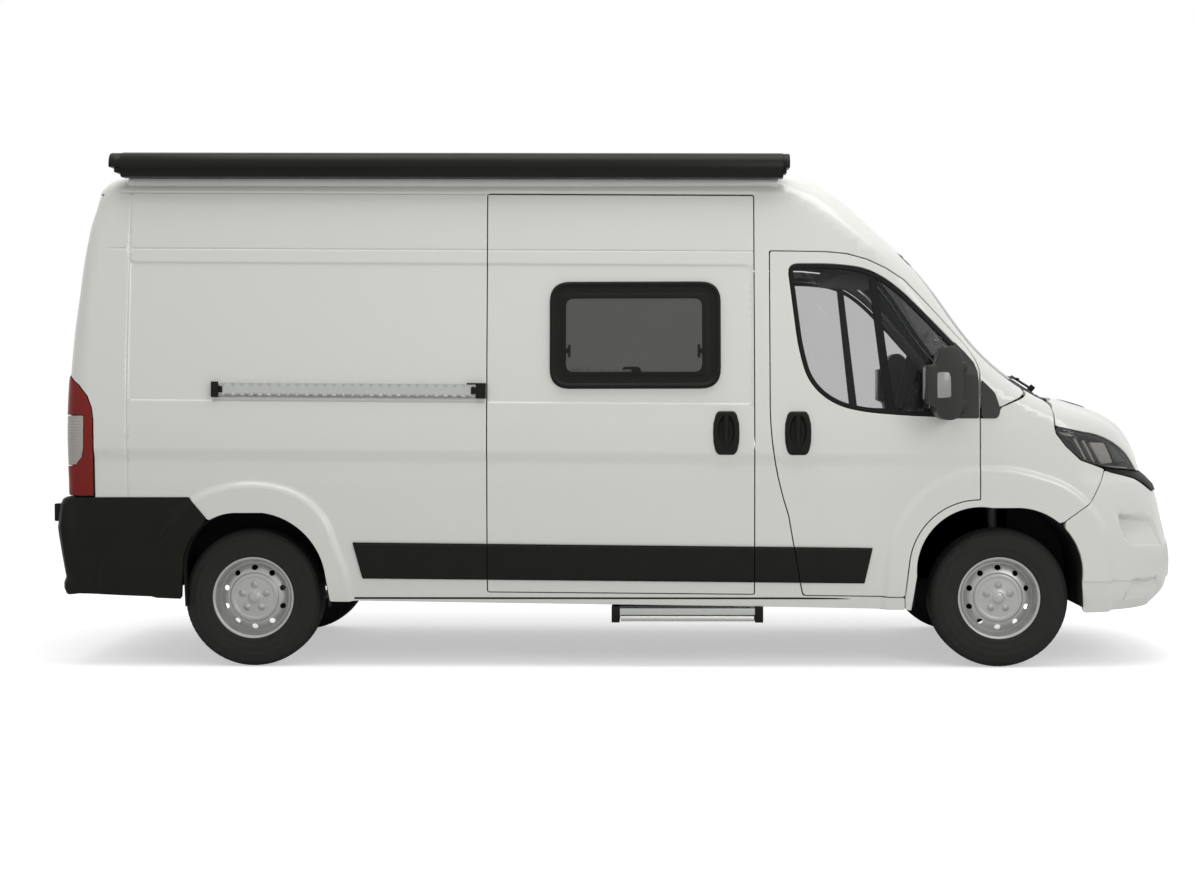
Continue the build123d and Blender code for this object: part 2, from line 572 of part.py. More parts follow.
with BuildPart() as step_housing:
    add(box_between((STEP["x0"], STEP["y_out"], STEP["z0"]), (STEP["x1"], STEP["y_in"], STEP["z1"])))
    low = (STEP["x0"] + 42, STEP["y_out"] - 20, STEP["z0"] - 1)
    add(box_between(low, (STEP["x1"] - 42, STEP["y_in"] - STEP_PLATE, STEP["z1"] - STEP_PLATE)), mode=Mode.SUBTRACT)
    for x in (STEP["x0"] + 60, STEP["x1"] - 60):
        add(box_between((x - 30, STEP["y_in"] - 60, STEP["z1"]), (x + 30, STEP["y_in"], FLOOR_TOP - FLOOR_THICK)))
save(step_housing.part, "step_housing")
with BuildPart() as step_tread:
    low = (STEP["x0"] + 42 + GAP, STEP["y_out"] - 15, STEP["z0"] + 8)
    add(box_between(low, (STEP["x1"] - 42 - GAP, STEP["y_in"] - STEP_PLATE - 40, STEP["z1"] - STEP_PLATE - 0.3)))
    fillet(step_tread.edges().filter_by(Axis.X).sort_by(Axis.Y)[:2], 18)
save(step_tread.part, "step_tread")

# ---------------------------------------------------------------- door mirrors
for name, side in SIDES.items():
    with BuildPart() as mirror:
        y0, y1 = MIRROR["y_in"], MIRROR["y_out"]
        with BuildSketch(Plane.XY.offset(MIRROR["z0"])):
            with BuildLine():
                Line((MIRROR["x0"], side * y0), (MIRROR["x0"], side * y1))
                front = (MIRROR["x1"], side * (y0 + 40))
                ThreePointArc((MIRROR["x0"], side * y1), (MIRROR["x1"] - 42, side * (y1 - 42)), front)
                Polyline(front, (MIRROR["x1"] - 30, side * y0), (MIRROR["x0"], side * y0))
            make_face()
        extrude(amount=MIRROR["z1"] - MIRROR["z0"])
        fillet(mirror.edges().group_by(Axis.Z)[-1] + mirror.edges().group_by(Axis.Z)[0], 24)
        for z in (1405.0, 1520.0):
            low, high = sorted((side * 940, side * (y0 + 10)))
            add(box_between((1765, low, z), (1835, high, z + 46)) - outer)
        add((proud[MOULDING_OUT] & side_block(SAIL, side)) - outer)
    save(mirror.part, f"mirror_{name}")

# ---------------------------------------------------------------- underneath
with BuildPart() as chassis_frame:
    for side in SIDES.values():
        for x0, x1 in ((-2900, 2185), (2185, 2960)):
            low, high = sorted((side * (RAIL_Y - RAIL_W / 2), side * (RAIL_Y + RAIL_W / 2)))
            add(box_between((x0, low, RAIL_Z), (x1, high, FLOOR_TOP - FLOOR_THICK)))
    for x in (-2860, -900, 300, 1300):
        add(box_between((x - 40, -RAIL_Y, RAIL_Z), (x + 40, RAIL_Y, RAIL_Z + 70)))
    add(box_between((2890, -RAIL_Y, RAIL_Z), (2960, RAIL_Y, RAIL_Z + 130)))
    add(box_between((FRONT_AXLE - 260, -RAIL_Y, 300), (FRONT_AXLE + 260, RAIL_Y, 360)))
    for side in SIDES.values():
        for x in (FRONT_AXLE - 220, FRONT_AXLE + 220):
            low, high = sorted((side * (RAIL_Y - RAIL_W / 2), side * (RAIL_Y + RAIL_W / 2)))
            add(box_between((x - 40, low, 300), (x + 40, high, RAIL_Z)))
        with BuildSketch(Plane.XY.offset(305)):
            with BuildLine():
                ends = [(-200, RAIL_Y), (200, RAIL_Y), (45, KINGPIN_Y - 90), (-45, KINGPIN_Y - 90),
                        (-200, RAIL_Y)]
                Polyline(*[(FRONT_AXLE + x, side * y) for x, y in ends])
            make_face()
        extrude(amount=40)

with BuildPart() as chassis:
    add(chassis_frame.part)
    for x in PADS.values():
        for side in SIDES.values():
            low, high = sorted((side * (RAIL_Y - 45), side * (RAIL_Y + 45)))
            add(box_between((x - 45, low, RAIL_Z - 25), (x + 45, high, RAIL_Z)))
    add(box_between((TOW["x"] - TOW_PLATE, -190, 420), (TOW["x"], 190, 520)))
    with BuildSketch(Plane.YZ.offset(TOW["x"] - TOW_PLATE)):
        with Locations((0, TOW["z"])):
            with GridLocations(TOW["y_pitch"], TOW["z_pitch"], 2, 2):
                Circle(TOW["r"])
    extrude(amount=92, mode=Mode.SUBTRACT)
save(chassis.part, "chassis_frame")

with BuildPart() as rear_axle:
    with BuildSketch(Plane.XZ.offset(-760)):
        with Locations((REAR_AXLE, TYRE_RADIUS)):
            Circle(42)
    extrude(amount=1520)
    for side in SIDES.values():
        with BuildSketch(Plane.XZ.offset(-side * 740)):
            with Locations((REAR_AXLE, TYRE_RADIUS)):
                Circle(HUB_RADIUS - 10)
        extrude(amount=-side * (WHEEL_Y + RIM_DISC_OUT - DISC_THICK - SEAT_GAP - 740))
        low, high = sorted((side * (SPRING_Y - 35), side * (SPRING_Y + 35)))
        add(box_between((REAR_AXLE - 620, low, 410), (REAR_AXLE + 620, high, 440)))
        for x in (REAR_AXLE - 600, REAR_AXLE + 600):
            add(box_between((x - 20, low, 440), (x + 20, high, FLOOR_TOP - FLOOR_THICK)))
save(rear_axle.part, "rear_axle")

with BuildPart() as engine_block:
    add(box_between((2230, -330, 480), (2800, 330, 1080)))
    for side in SIDES.values():
        low, high = sorted((side * 330, side * 420))
        add(box_between((2420, low, FLOOR_TOP - FLOOR_THICK), (2540, high, FLOOR_TOP - FLOOR_THICK + 60)))
save(engine_block.part, "engine_block")

# ---------------------------------------------------------------- knuckles, wheels, tyres
for name, side in SIDES.items():
    with BuildPart() as knuckle:
        low, high = sorted((side * (KINGPIN_Y - 110), side * (WHEEL_Y - 60)))
        add(box_between((FRONT_AXLE - 45, low, 345.3), (FRONT_AXLE + 45, high, 520)))
        with BuildSketch(Plane.XZ.offset(-side * (KINGPIN_Y - 40))):
            with Locations((FRONT_AXLE, TYRE_RADIUS)):
                Circle(HUB_RADIUS - 10)
        extrude(amount=-side * (WHEEL_Y + RIM_DISC_OUT - DISC_THICK - SEAT_GAP - (KINGPIN_Y - 40)))
        with BuildSketch(Plane.XY.offset(520)):
            with Locations((FRONT_AXLE, side * (KINGPIN_Y - 90))):
                Circle(28)
        extrude(amount=861.7 - 520)
    save(knuckle.part, f"front_knuckle_{name}")

for axle, x_axle in AXLES.items():
    for name, side in SIDES.items():
        hub = Plane(origin=(x_axle, side * WHEEL_Y, TYRE_RADIUS), x_dir=(1, 0, 0), z_dir=(0, side, 0))
        half = TYRE_WIDTH / 2
        with BuildPart() as tyre:
            with BuildSketch(Plane(hub.origin, x_dir=(1, 0, 0), z_dir=(0, 0, 1))):
                with BuildLine():
                    r0, r1, w = RIM_LIP - 18, TYRE_RADIUS, side * half
                    Line((r0, -w * 0.82), (r0, w * 0.82))
                    ThreePointArc((r0, w * 0.82), ((r0 + r1) / 2 - 8, w), (r1 - 30, w * 0.9))
                    ThreePointArc((r1 - 30, w * 0.9), (r1 - 9, w * 0.8), (r1, w * 0.66))
                    Line((r1, w * 0.66), (r1, -w * 0.66))
                    ThreePointArc((r1, -w * 0.66), (r1 - 9, -w * 0.8), (r1 - 30, -w * 0.9))
                    ThreePointArc((r1 - 30, -w * 0.9), ((r0 + r1) / 2 - 8, -w), (r0, -w * 0.82))
                make_face()
            revolve(axis=Axis(hub.origin, (0, 1, 0)))
        save(tyre.part, f"tyre_{axle}_{name}")
        with BuildPart() as wheel:
            with BuildSketch(Plane(hub.origin, x_dir=(1, 0, 0), z_dir=(0, 0, 1))):
                with BuildLine():
                    seat, w = RIM_LIP - 18.3, side * half
                    face, inside = side * RIM_DISC_OUT, side * (RIM_DISC_OUT - DISC_THICK)
                    Polyline(
                        (0, inside), (0, face), (120, face), (150, face - side * 22), (seat - 14, face - side * 22),
                        (seat - 14, w * 0.84), (seat, w * 0.84), (seat, -w * 0.84), (seat - 14, -w * 0.84),
                        (seat - 14, inside - side * 22), (145, inside - side * 22), (115, inside), (0, inside),
                    )  # fmt: skip
                make_face()
            revolve(axis=Axis(hub.origin, (0, 1, 0)))
            with BuildSketch(hub):
                with PolarLocations(162, 10, start_angle=90):
                    Circle(15.5)
            extrude(amount=half, both=True, mode=Mode.SUBTRACT)
        save(wheel.part, f"wheel_{axle}_{name}")

# ---------------------------------------------------------------- cab interior
with BuildPart() as seats:
    for side in SIDES.values():
        low, high = sorted((side * (SEAT["y"] - SEAT["half"]), side * (SEAT["y"] + SEAT["half"])))
        add(box_between((SEAT["x0"], low, FLOOR_TOP), (SEAT["x1"] - 40, high, SEAT["base"])))
        add(box_between((SEAT["x0"], low, SEAT["base"]), (SEAT["x1"], high, SEAT["top"])))
        with BuildSketch(Plane.XZ.offset(-low)):
            Polygon((900, 1010), (1010, 1010), (905, 1640), (815, 1640), (830, 1400), align=None)
        extrude(amount=low - high)
        with BuildSketch(Plane.XZ.offset(-(low + 120))):
            Polygon((805, 1640), (890, 1640), (880, 1840), (800, 1840), align=None)
        extrude(amount=low - high + 240)
save(seats.part, "cab_seats")

with BuildPart() as dashboard:
    with BuildSketch(Plane.XZ.offset(-855)):
        Polygon(
            (FIREWALL - 0.3, 900), (FIREWALL - 0.3, DASH_TOP), (1960, 1385), (1800, 1330), (1790, 1230),
            (1880, 1080), (1900, 900), align=None,
        )  # fmt: skip
    extrude(amount=1710)
save(dashboard.part, "dashboard")
with BuildPart() as steering_wheel:
    rim = Plane(origin=WHEEL_CENTRE, x_dir=(0, 1, 0), z_dir=(-0.707, 0, 0.707))
    with BuildSketch(rim):
        Circle(205)
        Circle(172, mode=Mode.SUBTRACT)
        Rectangle(350, 50)
        Circle(75)
        with Locations((0, 0)):
            Rectangle(50, 350)
    extrude(amount=26)
    with BuildSketch(rim):
        Circle(34)
    extrude(amount=-420)
    add(dashboard.part, mode=Mode.SUBTRACT)
save(steering_wheel.part, "steering_wheel")
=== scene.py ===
"""The looks of the camper van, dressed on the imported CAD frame. All sizes are in metres."""

from collections import namedtuple
from math import cos, pi, radians, sin

import bmesh
import bpy
import numpy as np
from mathutils import Matrix, Vector
from mathutils.geometry import delaunay_2d_cdt
from mathutils.kdtree import KDTree


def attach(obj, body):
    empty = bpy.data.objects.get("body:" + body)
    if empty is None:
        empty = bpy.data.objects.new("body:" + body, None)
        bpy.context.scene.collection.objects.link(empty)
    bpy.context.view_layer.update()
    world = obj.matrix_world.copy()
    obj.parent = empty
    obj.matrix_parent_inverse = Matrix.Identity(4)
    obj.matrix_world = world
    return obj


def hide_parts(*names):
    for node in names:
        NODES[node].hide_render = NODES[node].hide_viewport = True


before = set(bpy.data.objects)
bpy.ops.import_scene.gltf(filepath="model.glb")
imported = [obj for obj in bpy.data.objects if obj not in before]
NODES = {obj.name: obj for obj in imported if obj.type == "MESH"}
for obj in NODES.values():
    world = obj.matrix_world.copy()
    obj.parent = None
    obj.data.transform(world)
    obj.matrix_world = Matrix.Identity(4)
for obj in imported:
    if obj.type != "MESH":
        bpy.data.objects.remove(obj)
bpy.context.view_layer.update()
SIDES = {"right": -1, "left": 1}
BOTH = tuple(SIDES.values())

# ---------------------------------------------------------------- camera
PHOTO_WIDTH = 1195
FOCAL_PIXELS = 2046.8
CAMERA_AT = (0.1598, -12.005, 1.5005)
YAW, PITCH, ROLL = radians(-1.4655), radians(-1.6325), radians(-0.103)


def make_camera():
    ahead = Vector((sin(YAW), cos(YAW), 0))
    right = Vector((cos(YAW), -sin(YAW), 0))
    up = Vector((0, 0, 1))
    look = ahead * cos(PITCH) + up * sin(PITCH)
    over = up * cos(PITCH) - ahead * sin(PITCH)
    x_axis = right * cos(ROLL) + over * sin(ROLL)
    y_axis = over * cos(ROLL) - right * sin(ROLL)
    turn = Matrix((x_axis, y_axis, -look)).transposed().to_4x4()
    data = bpy.data.cameras.new("camera")
    data.sensor_fit = "HORIZONTAL"
    data.sensor_width = 36
    data.lens = FOCAL_PIXELS * 36 / PHOTO_WIDTH
    data.clip_end = 200
    camera = bpy.data.objects.new("camera", data)
    camera.matrix_world = Matrix.Translation(CAMERA_AT) @ turn
    bpy.context.scene.collection.objects.link(camera)
    bpy.context.scene.camera = camera


make_camera()

# ---------------------------------------------------------------- materials
SLOTS = {}  # each finish's usual slot


def add_node(tree, kind, vector=None, **values):
    """A shader node with its input values, and its vector input linked."""
    node = tree.nodes.new("ShaderNode" + kind)
    for socket, value in values.items():
        node.inputs[socket.replace("_", " ")].default_value = value
    if vector:
        tree.links.new(vector, node.inputs["Vector"])
    return node


def material(name, colour, rough, metal=0.0, slot=None, *, vary=0.05, scale=3.0, bump=0.0, grain=300.0,
             worn=0.06, **sockets):
    """A procedural finish: broad noise in its colour and roughness, fine noise in its bump."""
    made = bpy.data.materials.new(name)
    made.use_nodes = True
    tree = made.node_tree
    shader, links = tree.nodes["Principled BSDF"], tree.links
    place = add_node(tree, "TexCoord").outputs["Object"]
    broad = add_node(tree, "TexNoise", place, Scale=scale, Detail=5).outputs["Fac"]
    tint = add_node(tree, "Mix")
    tint.data_type = "RGBA"
    tint.inputs[6].default_value = (*[c * (1 - vary) for c in colour], 1)
    tint.inputs[7].default_value = (*[min(1, c * (1 + vary)) for c in colour], 1)
    links.new(broad, tint.inputs[0])
    links.new(tint.outputs[2], shader.inputs["Base Color"])
    spread = add_node(tree, "MapRange", To_Min=max(0.0, rough - worn), To_Max=min(1.0, rough + worn))
    links.new(broad, spread.inputs["Value"])
    links.new(spread.outputs["Result"], shader.inputs["Roughness"])
    if bump:
        fine = add_node(tree, "TexNoise", place, Scale=grain, Detail=3)
        raised = add_node(tree, "Bump", Strength=bump, Distance=0.0006)
        links.new(fine.outputs["Fac"], raised.inputs["Height"])
        links.new(raised.outputs["Normal"], shader.inputs["Normal"])
    for socket, value in {"Metallic": metal, **sockets}.items():
        shader.inputs[socket.replace("_", " ")].default_value = value
    SLOTS[made.name] = slot
    return made


PAINT = material("paint_white", (0.62, 0.622, 0.585), 0.28, slot="body_paint", vary=0.012, scale=1.5,
                 worn=0.01, Coat_Weight=0.35, Coat_Roughness=0.08)
PLASTIC = material("plastic_black", (0.0075, 0.0082, 0.0055), 0.5, slot="black_plastic", vary=0.2, scale=9,
                   bump=0.5, grain=700, Specular_IOR_Level=0.13)
RUBBER = material("rubber_seal", (0.009, 0.009, 0.0085), 0.62, slot="black_plastic", vary=0.2, bump=0.3,
                  Specular_IOR_Level=0.12)
TYRE = material("tyre_rubber", (0.016, 0.016, 0.0150), 0.70, slot="tyre_rubber", vary=0.3, scale=14, bump=0.7,
                grain=500, Specular_IOR_Level=0.2)
STEEL = material("wheel_silver", (0.40, 0.405, 0.39), 0.36, 0.55, "wheel_steel", scale=12, bump=0.15,
                 grain=900)
ALLOY = material("anodised_rail", (0.46, 0.47, 0.45), 0.34, 0.6, "anodised", scale=6, bump=0.1, grain=600)
ANTHRACITE = material("awning_case", (0.0080, 0.0083, 0.0065), 0.36, slot="anthracite", vary=0.12, scale=4,
                      bump=0.2, grain=900, Specular_IOR_Level=0.15)
DARK = material("underbody", (0.014, 0.014, 0.014), 0.75, slot="underbody", vary=0.3, scale=8, bump=0.5,
                grain=200, Specular_IOR_Level=0.15)
CAST = material("cast_parts", (0.06, 0.06, 0.06), 0.55, 0.5, "cast_parts", vary=0.25, scale=14, bump=0.5,
                grain=260)
GLASS = material("glass_clear", (0.03, 0.034, 0.032), 0.03, slot="clear_glass", vary=0.1, worn=0.01,
                 Alpha=0.19)
# Painted shade: the windscreen's near-opaque dark tint stands in for the shade inside the cab seen through
# the clear glass.
SCREEN = material("glass_screen", (0.03, 0.034, 0.032), 0.03, slot="clear_glass", vary=0.1, worn=0.01,
                  Alpha=0.74, Specular_IOR_Level=0.1)
PANE = material("pane_smoked", (0.058, 0.059, 0.056), 0.2, slot="dark_pane", vary=0.08, scale=2, worn=0.05)
LENS = material("lens_clear", (0.12, 0.125, 0.12), 0.05, slot="lamp_lens", worn=0.02, Alpha=0.15,
                Coat_Weight=0.3)
LAMP_DARK = material("lamp_bezel", (0.03, 0.031, 0.03), 0.3, vary=0.15, scale=20, bump=0.2)
RED = material("lens_red", (0.17, 0.009, 0.006), 0.22, slot="red_lens", vary=0.2, scale=40, bump=0.3,
               grain=160, Specular_IOR_Level=0.2)
SMOKED = material("lens_smoked", (0.33, 0.31, 0.29), 0.16, vary=0.12, scale=40, bump=0.5, grain=160)
REPEATER = material("lens_repeater", (0.25, 0.255, 0.24), 0.16, vary=0.12, scale=40, bump=0.5, grain=160)
CAB = material("cab_plastic", (0.022, 0.022, 0.021), 0.6, slot="cab_plastic", vary=0.15, scale=9, bump=0.5,
               grain=500, Specular_IOR_Level=0.2)
TRIM = material("cab_trim", (0.33, 0.33, 0.315), 0.75, slot="anodised", vary=0.06, scale=8, bump=0.5,
                grain=420)
CLOTH = material("seat_cloth", (0.055, 0.057, 0.06), 0.88, slot="seat_cloth", vary=0.25, scale=60, bump=0.8,
                 grain=900, Sheen_Weight=0.3)
MIRROR = material("mirror_case", (0.024, 0.0245, 0.022), 0.42, slot="black_plastic", vary=0.15, scale=12,
                  bump=0.4, grain=700, Specular_IOR_Level=0.3)

# ---------------------------------------------------------------- the body's skin
RAKE = 0.0085  # the body lines fall towards the nose by this slope
# height, half width, tail, nose, nose radius, nose corner radius, tail corner radius
SECTIONS = np.array([
    (0.285, 0.975, -2.950, 2.990, 3.5, 0.48, 0.09), (0.420, 1.004, -2.985, 3.075, 3.5, 0.48, 0.09),
    (0.545, 1.018, -2.990, 3.083, 3.5, 0.48, 0.09), (0.820, 1.027, -2.994, 3.034, 3.5, 0.48, 0.09),
    (0.990, 1.027, -2.993, 2.985, 3.5, 0.48, 0.09), (1.046, 1.026, -2.995, 2.932, 2.9, 0.44, 0.09),
    (1.130, 1.024, -2.999, 2.908, 2.6, 0.42, 0.09), (1.270, 1.019, -3.003, 2.830, 2.4, 0.38, 0.09),
    (1.343, 1.014, -3.003, 2.735, 2.4, 0.35, 0.09), (1.399, 1.009, -3.002, 2.596, 2.4, 0.31, 0.09),
    (1.466, 1.004, -3.000, 2.376, 2.6, 0.18, 0.09), (2.223, 0.921, -2.932, 1.636, 2.6, 0.13, 0.09),
    (2.351, 0.907, -2.908, 1.492, 2.6, 0.18, 0.09), (2.474, 0.892, -2.881, 1.358, 2.6, 0.24, 0.11),
    (2.580, 0.875, -2.860, 1.224, 2.6, 0.30, 0.14), (2.664, 0.815, -2.815, 1.090, 2.6, 0.35, 0.20),
    (2.690, 0.560, -2.750, 0.960, 2.6, 0.35, 0.25), (2.702, 0.260, -2.550, 0.700, 2.6, 0.20, 0.15),
])
Plan = namedtuple("Plan", "half tail radius corner heel y_corner x_arc x_corner turn bend")


def monotone(x_known, y_known):
    """A smooth curve through the points that doesn't overshoot them."""
    step, rise = np.diff(x_known), np.diff(y_known) / np.diff(x_known)
    slope = np.empty(len(x_known))
    slope[0], slope[-1] = rise[0], rise[-1]
    for i in range(1, len(x_known) - 1):
        near, far = 2 * step[i] + step[i - 1], step[i] + 2 * step[i - 1]
        turns = rise[i - 1] * rise[i] <= 0
        slope[i] = 0 if turns else (near + far) / (near / rise[i - 1] + far / rise[i])

    def curve(x):
        k = np.clip(np.searchsorted(x_known, x) - 1, 0, len(step) - 1)
        t = (x - x_known[k]) / step[k]
        start = (2 * t**3 - 3 * t**2 + 1) * y_known[k] + (t**3 - 2 * t**2 + t) * step[k] * slope[k]
        return start + (3 * t**2 - 2 * t**3) * y_known[k + 1] + (t**3 - t**2) * step[k] * slope[k + 1]

    return curve


COLUMNS = [monotone(SECTIONS[:, 0], SECTIONS[:, i]) for i in range(1, 7)]


def section(z):
    """The plan outline at a height: its sizes, where its arcs meet and how long the corner's arc is."""
    half, tail, nose, radius, corner, heel = [column(z) for column in COLUMNS]
    y_corner, x_arc = half - corner, nose - radius
    x_corner = x_arc + np.sqrt((radius - corner) ** 2 - y_corner**2)
    turn = np.arctan2(y_corner, x_corner - x_arc)
    return Plan(half, tail, radius, corner, heel, y_corner, x_arc, x_corner, turn, corner * (pi / 2 - turn))


def skin(s, z):
    """x and |y| on the skin. s is x along the straight side and runs on round the nose and the tail."""
    p = section(z)
    ahead = s - p.x_corner
    a, b = pi / 2 - ahead / p.corner, p.turn - (ahead - p.bend) / p.radius
    x = np.where(ahead <= p.bend, p.x_corner + p.corner * np.cos(a), p.x_arc + p.radius * np.cos(b))
    y = np.where(ahead <= p.bend, p.y_corner + p.corner * np.sin(a), p.radius * np.sin(b))
    x, y = np.where(ahead <= 0, s, x), np.where(ahead <= 0, p.half, y)
    behind = p.tail + p.heel - s
    c = np.clip(behind / p.heel, 0, pi / 2)
    x = np.where(behind > 0, p.tail + p.heel - p.heel * np.sin(c), x)
    flat = np.maximum(behind - p.heel * pi / 2, 0)
    return x, np.where(behind > 0, p.half - p.heel + p.heel * np.cos(c) - flat, y)


def nose_at(z):
    """s on the centre line of the nose."""
    p = section(z)
    return p.x_corner + p.bend + p.turn * p.radius


def nose_by_y(y, z):
    """s on the nose at a distance off the middle."""
    p = section(z)
    b = np.arcsin(np.clip(y / p.radius, -1, 1))
    a = np.arcsin(np.clip((y - p.y_corner) / p.corner, -1, 1))
    on_nose = p.x_corner + p.bend + (p.turn - b) * p.radius
    return np.where(b <= p.turn, on_nose, p.x_corner + p.corner * (pi / 2 - a))


def tail_by_y(y, z):
    """s on the flat of the tail at a distance off the middle."""
    p = section(z)
    flat = p.half - p.heel
    c = np.arccos(np.clip((y - flat) / p.heel, 0, 1))
    return p.tail + p.heel - np.where(y <= flat, p.heel * pi / 2 + (flat - y), p.heel * c)


def tail_middle(z):
    """s on the centre line of the tail."""
    return tail_by_y(0.0, z)


def side_at(x, z):
    """s of a point that a side view shows at x."""
    p = section(z)
    a = np.arccos(np.clip((x - p.x_corner) / p.corner, -1, 1))
    b = np.arccos(np.clip((x - p.x_arc) / p.radius, -1, 1))
    s = np.where(x <= p.x_corner, x, p.x_corner + p.corner * (pi / 2 - a))
    s = np.where(x > p.x_corner + p.corner * np.cos(p.turn), p.x_corner + p.bend + (p.turn - b) * p.radius, s)
    c = np.arcsin(np.clip((p.tail + p.heel - x) / p.heel, 0, 1))
    return np.where(x < p.tail + p.heel, p.tail + p.heel - p.heel * c, s)


def smooth(t):
    t = np.clip(t, 0, 1)
    return t * t * (3 - 2 * t)


def ridge_at(distance, width):
    """A rounded line's height, from 1 on it down to 0 beside it."""
    return np.exp(-((distance / width) ** 2))


def unit(vectors):
    return vectors / np.maximum(np.linalg.norm(vectors, axis=-1), 1e-12)[..., None]


# ---------------------------------------------------------------- outlines
def arc(start, middle, end, step=0.02):
    """Points of the arc from start through middle to end, start left out."""
    a, b, c = (complex(*p) for p in (start, middle, end))
    w = (c - a) / (b - a)
    centre = (b - a) * (w - abs(w) ** 2) / (2j * w.imag) + a
    first, mid, last = (np.angle(p - centre) for p in (a, b, c))
    way = 1 if ((mid - first) % (2 * pi)) < ((last - first) % (2 * pi)) else -1
    sweep = ((last - first) * way) % (2 * pi) * way
    radius = abs(a - centre)
    count = max(3, int(abs(sweep) * radius / step))
    turns = first + sweep * np.arange(1, count + 1) / count
    return [(centre.real + radius * cos(t), centre.imag + radius * sin(t)) for t in turns]


def trace(path):
    """The points of a path whose (middle, end) entries are arcs."""
    points = []
    for item in path:
        points += arc(points[-1], *item) if isinstance(item[0], tuple) else [item]
    return points


def soften(points, radius, steps=5, flow=False, sharp=None):
    """Rounds the corners of a closed outline, bar the sharp ones. With flow, slight corners get curves."""
    made = []
    p = np.array(points, float)
    for before, here, after in zip(np.roll(p, 1, 0), p, np.roll(p, -1, 0)):
        u, v = before - here, after - here
        length_u, length_v = np.linalg.norm(u), np.linalg.norm(v)
        straight = np.dot(u, v) / (length_u * length_v)
        if (straight < -0.94 and not flow) or (sharp and sharp(here)):
            made.append(tuple(here))
            continue
        reach = min(radius, 0.45 * length_u, 0.45 * length_v)
        if flow and straight < -0.85:
            reach = 0.49 * min(length_u, length_v)
        a, b = here + u / length_u * reach, here + v / length_v * reach
        made += [tuple(a * (1 - t) ** 2 + here * 2 * t * (1 - t) + b * t * t)
                 for t in np.linspace(0, 1, steps)]
    return made


def counter_clockwise(points):
    p = np.array(points, float)
    x, y = p[:, 0], p[:, 1]
    return p if np.sum(x * np.roll(y, -1) - np.roll(x, -1) * y) > 0 else p[::-1].copy()


def rounded(points, radius, steps=5):
    """A counter-clockwise outline with softened corners."""
    return counter_clockwise(soften(points, radius, steps))


def apart(points):
    """The outline without points that repeat."""
    points = np.asarray(points, float)
    return points[np.linalg.norm(points - np.roll(points, 1, 0), axis=1) > 1e-5]


def grow(points, by):
    """A closed counter-clockwise outline moved outwards."""
    points = apart(points)
    edge = np.roll(points, -1, 0) - points
    normal = unit(np.stack([edge[:, 1], -edge[:, 0]], 1))
    both = unit(normal + np.roll(normal, 1, 0))
    reach = 1 / np.maximum((both * normal).sum(1), 0.55)
    return points + both * reach[:, None] * by


def refine(points, step, levels=()):
    """More points along a closed outline, and one wherever it crosses a body line."""
    made = []
    for a, b in zip(points, np.roll(points, -1, 0)):
        length = np.linalg.norm(b - a)
        count = int(np.ceil(length / step))
        shares = set(np.arange(1, count) / max(1, count))
        rise_a, rise_b = a[1] + RAKE * a[0], b[1] + RAKE * b[0]
        for level in levels if abs(rise_b - rise_a) > 1e-5 else ():
            t = (level - rise_a) / (rise_b - rise_a)
            if 0.001 < t < 0.999:
                shares = {q for q in shares if abs(q - t) * length > 0.002} | {t}
        made.append(a)
        made += [a + (b - a) * t for t in sorted(shares)]
    return np.array(made)


def inside(points, outline):
    x, y = points[:, 0], points[:, 1]
    odd = np.zeros(len(points), bool)
    for (x0, y0), (x1, y1) in zip(outline, np.roll(outline, -1, 0)):
        if y0 != y1:
            odd ^= ((y0 > y) != (y1 > y)) & (x < (x1 - x0) * (y - y0) / (y1 - y0) + x0)
    return odd


def depth_inside(s, z, outline):
    """Distance inwards from an outline, negative outside it."""
    points = np.stack([s.ravel(), z.ravel()], 1)
    near = np.full(len(points), 9.0)
    for a, b in zip(outline, np.roll(outline, -1, 0)):
        edge = b - a
        t = np.clip(((points - a) @ edge) / max(edge @ edge, 1e-12), 0, 1)
        near = np.minimum(near, np.linalg.norm(points - a - t[:, None] * edge, axis=1))
    return np.where(inside(points, outline), near, -near).reshape(s.shape)


# ---------------------------------------------------------------- panels
CAP = 2.640  # the roof's top begins here


def level(s, z):
    return np.zeros_like(s)


def body_skin(s, z):
    x, y = skin(s, z)
    return np.stack([x, -y, z + 0 * x], -1)


def lifted(base, s, z, lift):
    """A point of a right-hand surface, lifted off it by lift, and the normal there."""
    e = 0.0004
    along, up = base(s + e, z) - base(s - e, z), base(s, z + e) - base(s, z - e)
    normal = unit(np.cross(along, up))
    return base(s, z) + normal * lift[..., None], normal


def placed(name, mesh, mat, body, slot):
    """An object of the mesh with its finish, riding on its body. The slot is worked out but not used."""
    mesh.materials.append(mat)
    mesh.polygons.foreach_set("use_smooth", [True] * len(mesh.polygons))
    made = bpy.data.objects.new(name, mesh)
    bpy.context.scene.collection.objects.link(made)
    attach(made, body)
    slot = SLOTS[mat.name] if slot == "usual" else slot
    return made


def mesh_object(name, verts, faces, mat, *, normals=None, body="body", slot="usual"):
    """An object of the faces, without folded or doubled ones where there are corner normals."""
    mesh = bpy.data.meshes.new(name)
    if normals is not None:
        sound, sound_normals, seen, corner = [], [], set(), 0
        for face in faces:
            key = tuple(sorted(face))
            if len(set(face)) == len(face) and key not in seen:
                sound.append(face)
                sound_normals += normals[corner : corner + len(face)]
            seen.add(key)
            corner += len(face)
        faces, normals = sound, sound_normals
    mesh.from_pydata([tuple(v) for v in np.asarray(verts, float).tolist()], [], [tuple(f) for f in faces])
    made = placed(name, mesh, mat, body, slot)
    if normals is not None:
        mesh.normals_split_custom_set(normals)
    return made


def within(points, loops):
    """Whether points lie inside the first loop and outside the others."""
    keep = inside(points, loops[0])
    for hole in loops[1:]:
        keep &= ~inside(points, hole)
    return keep


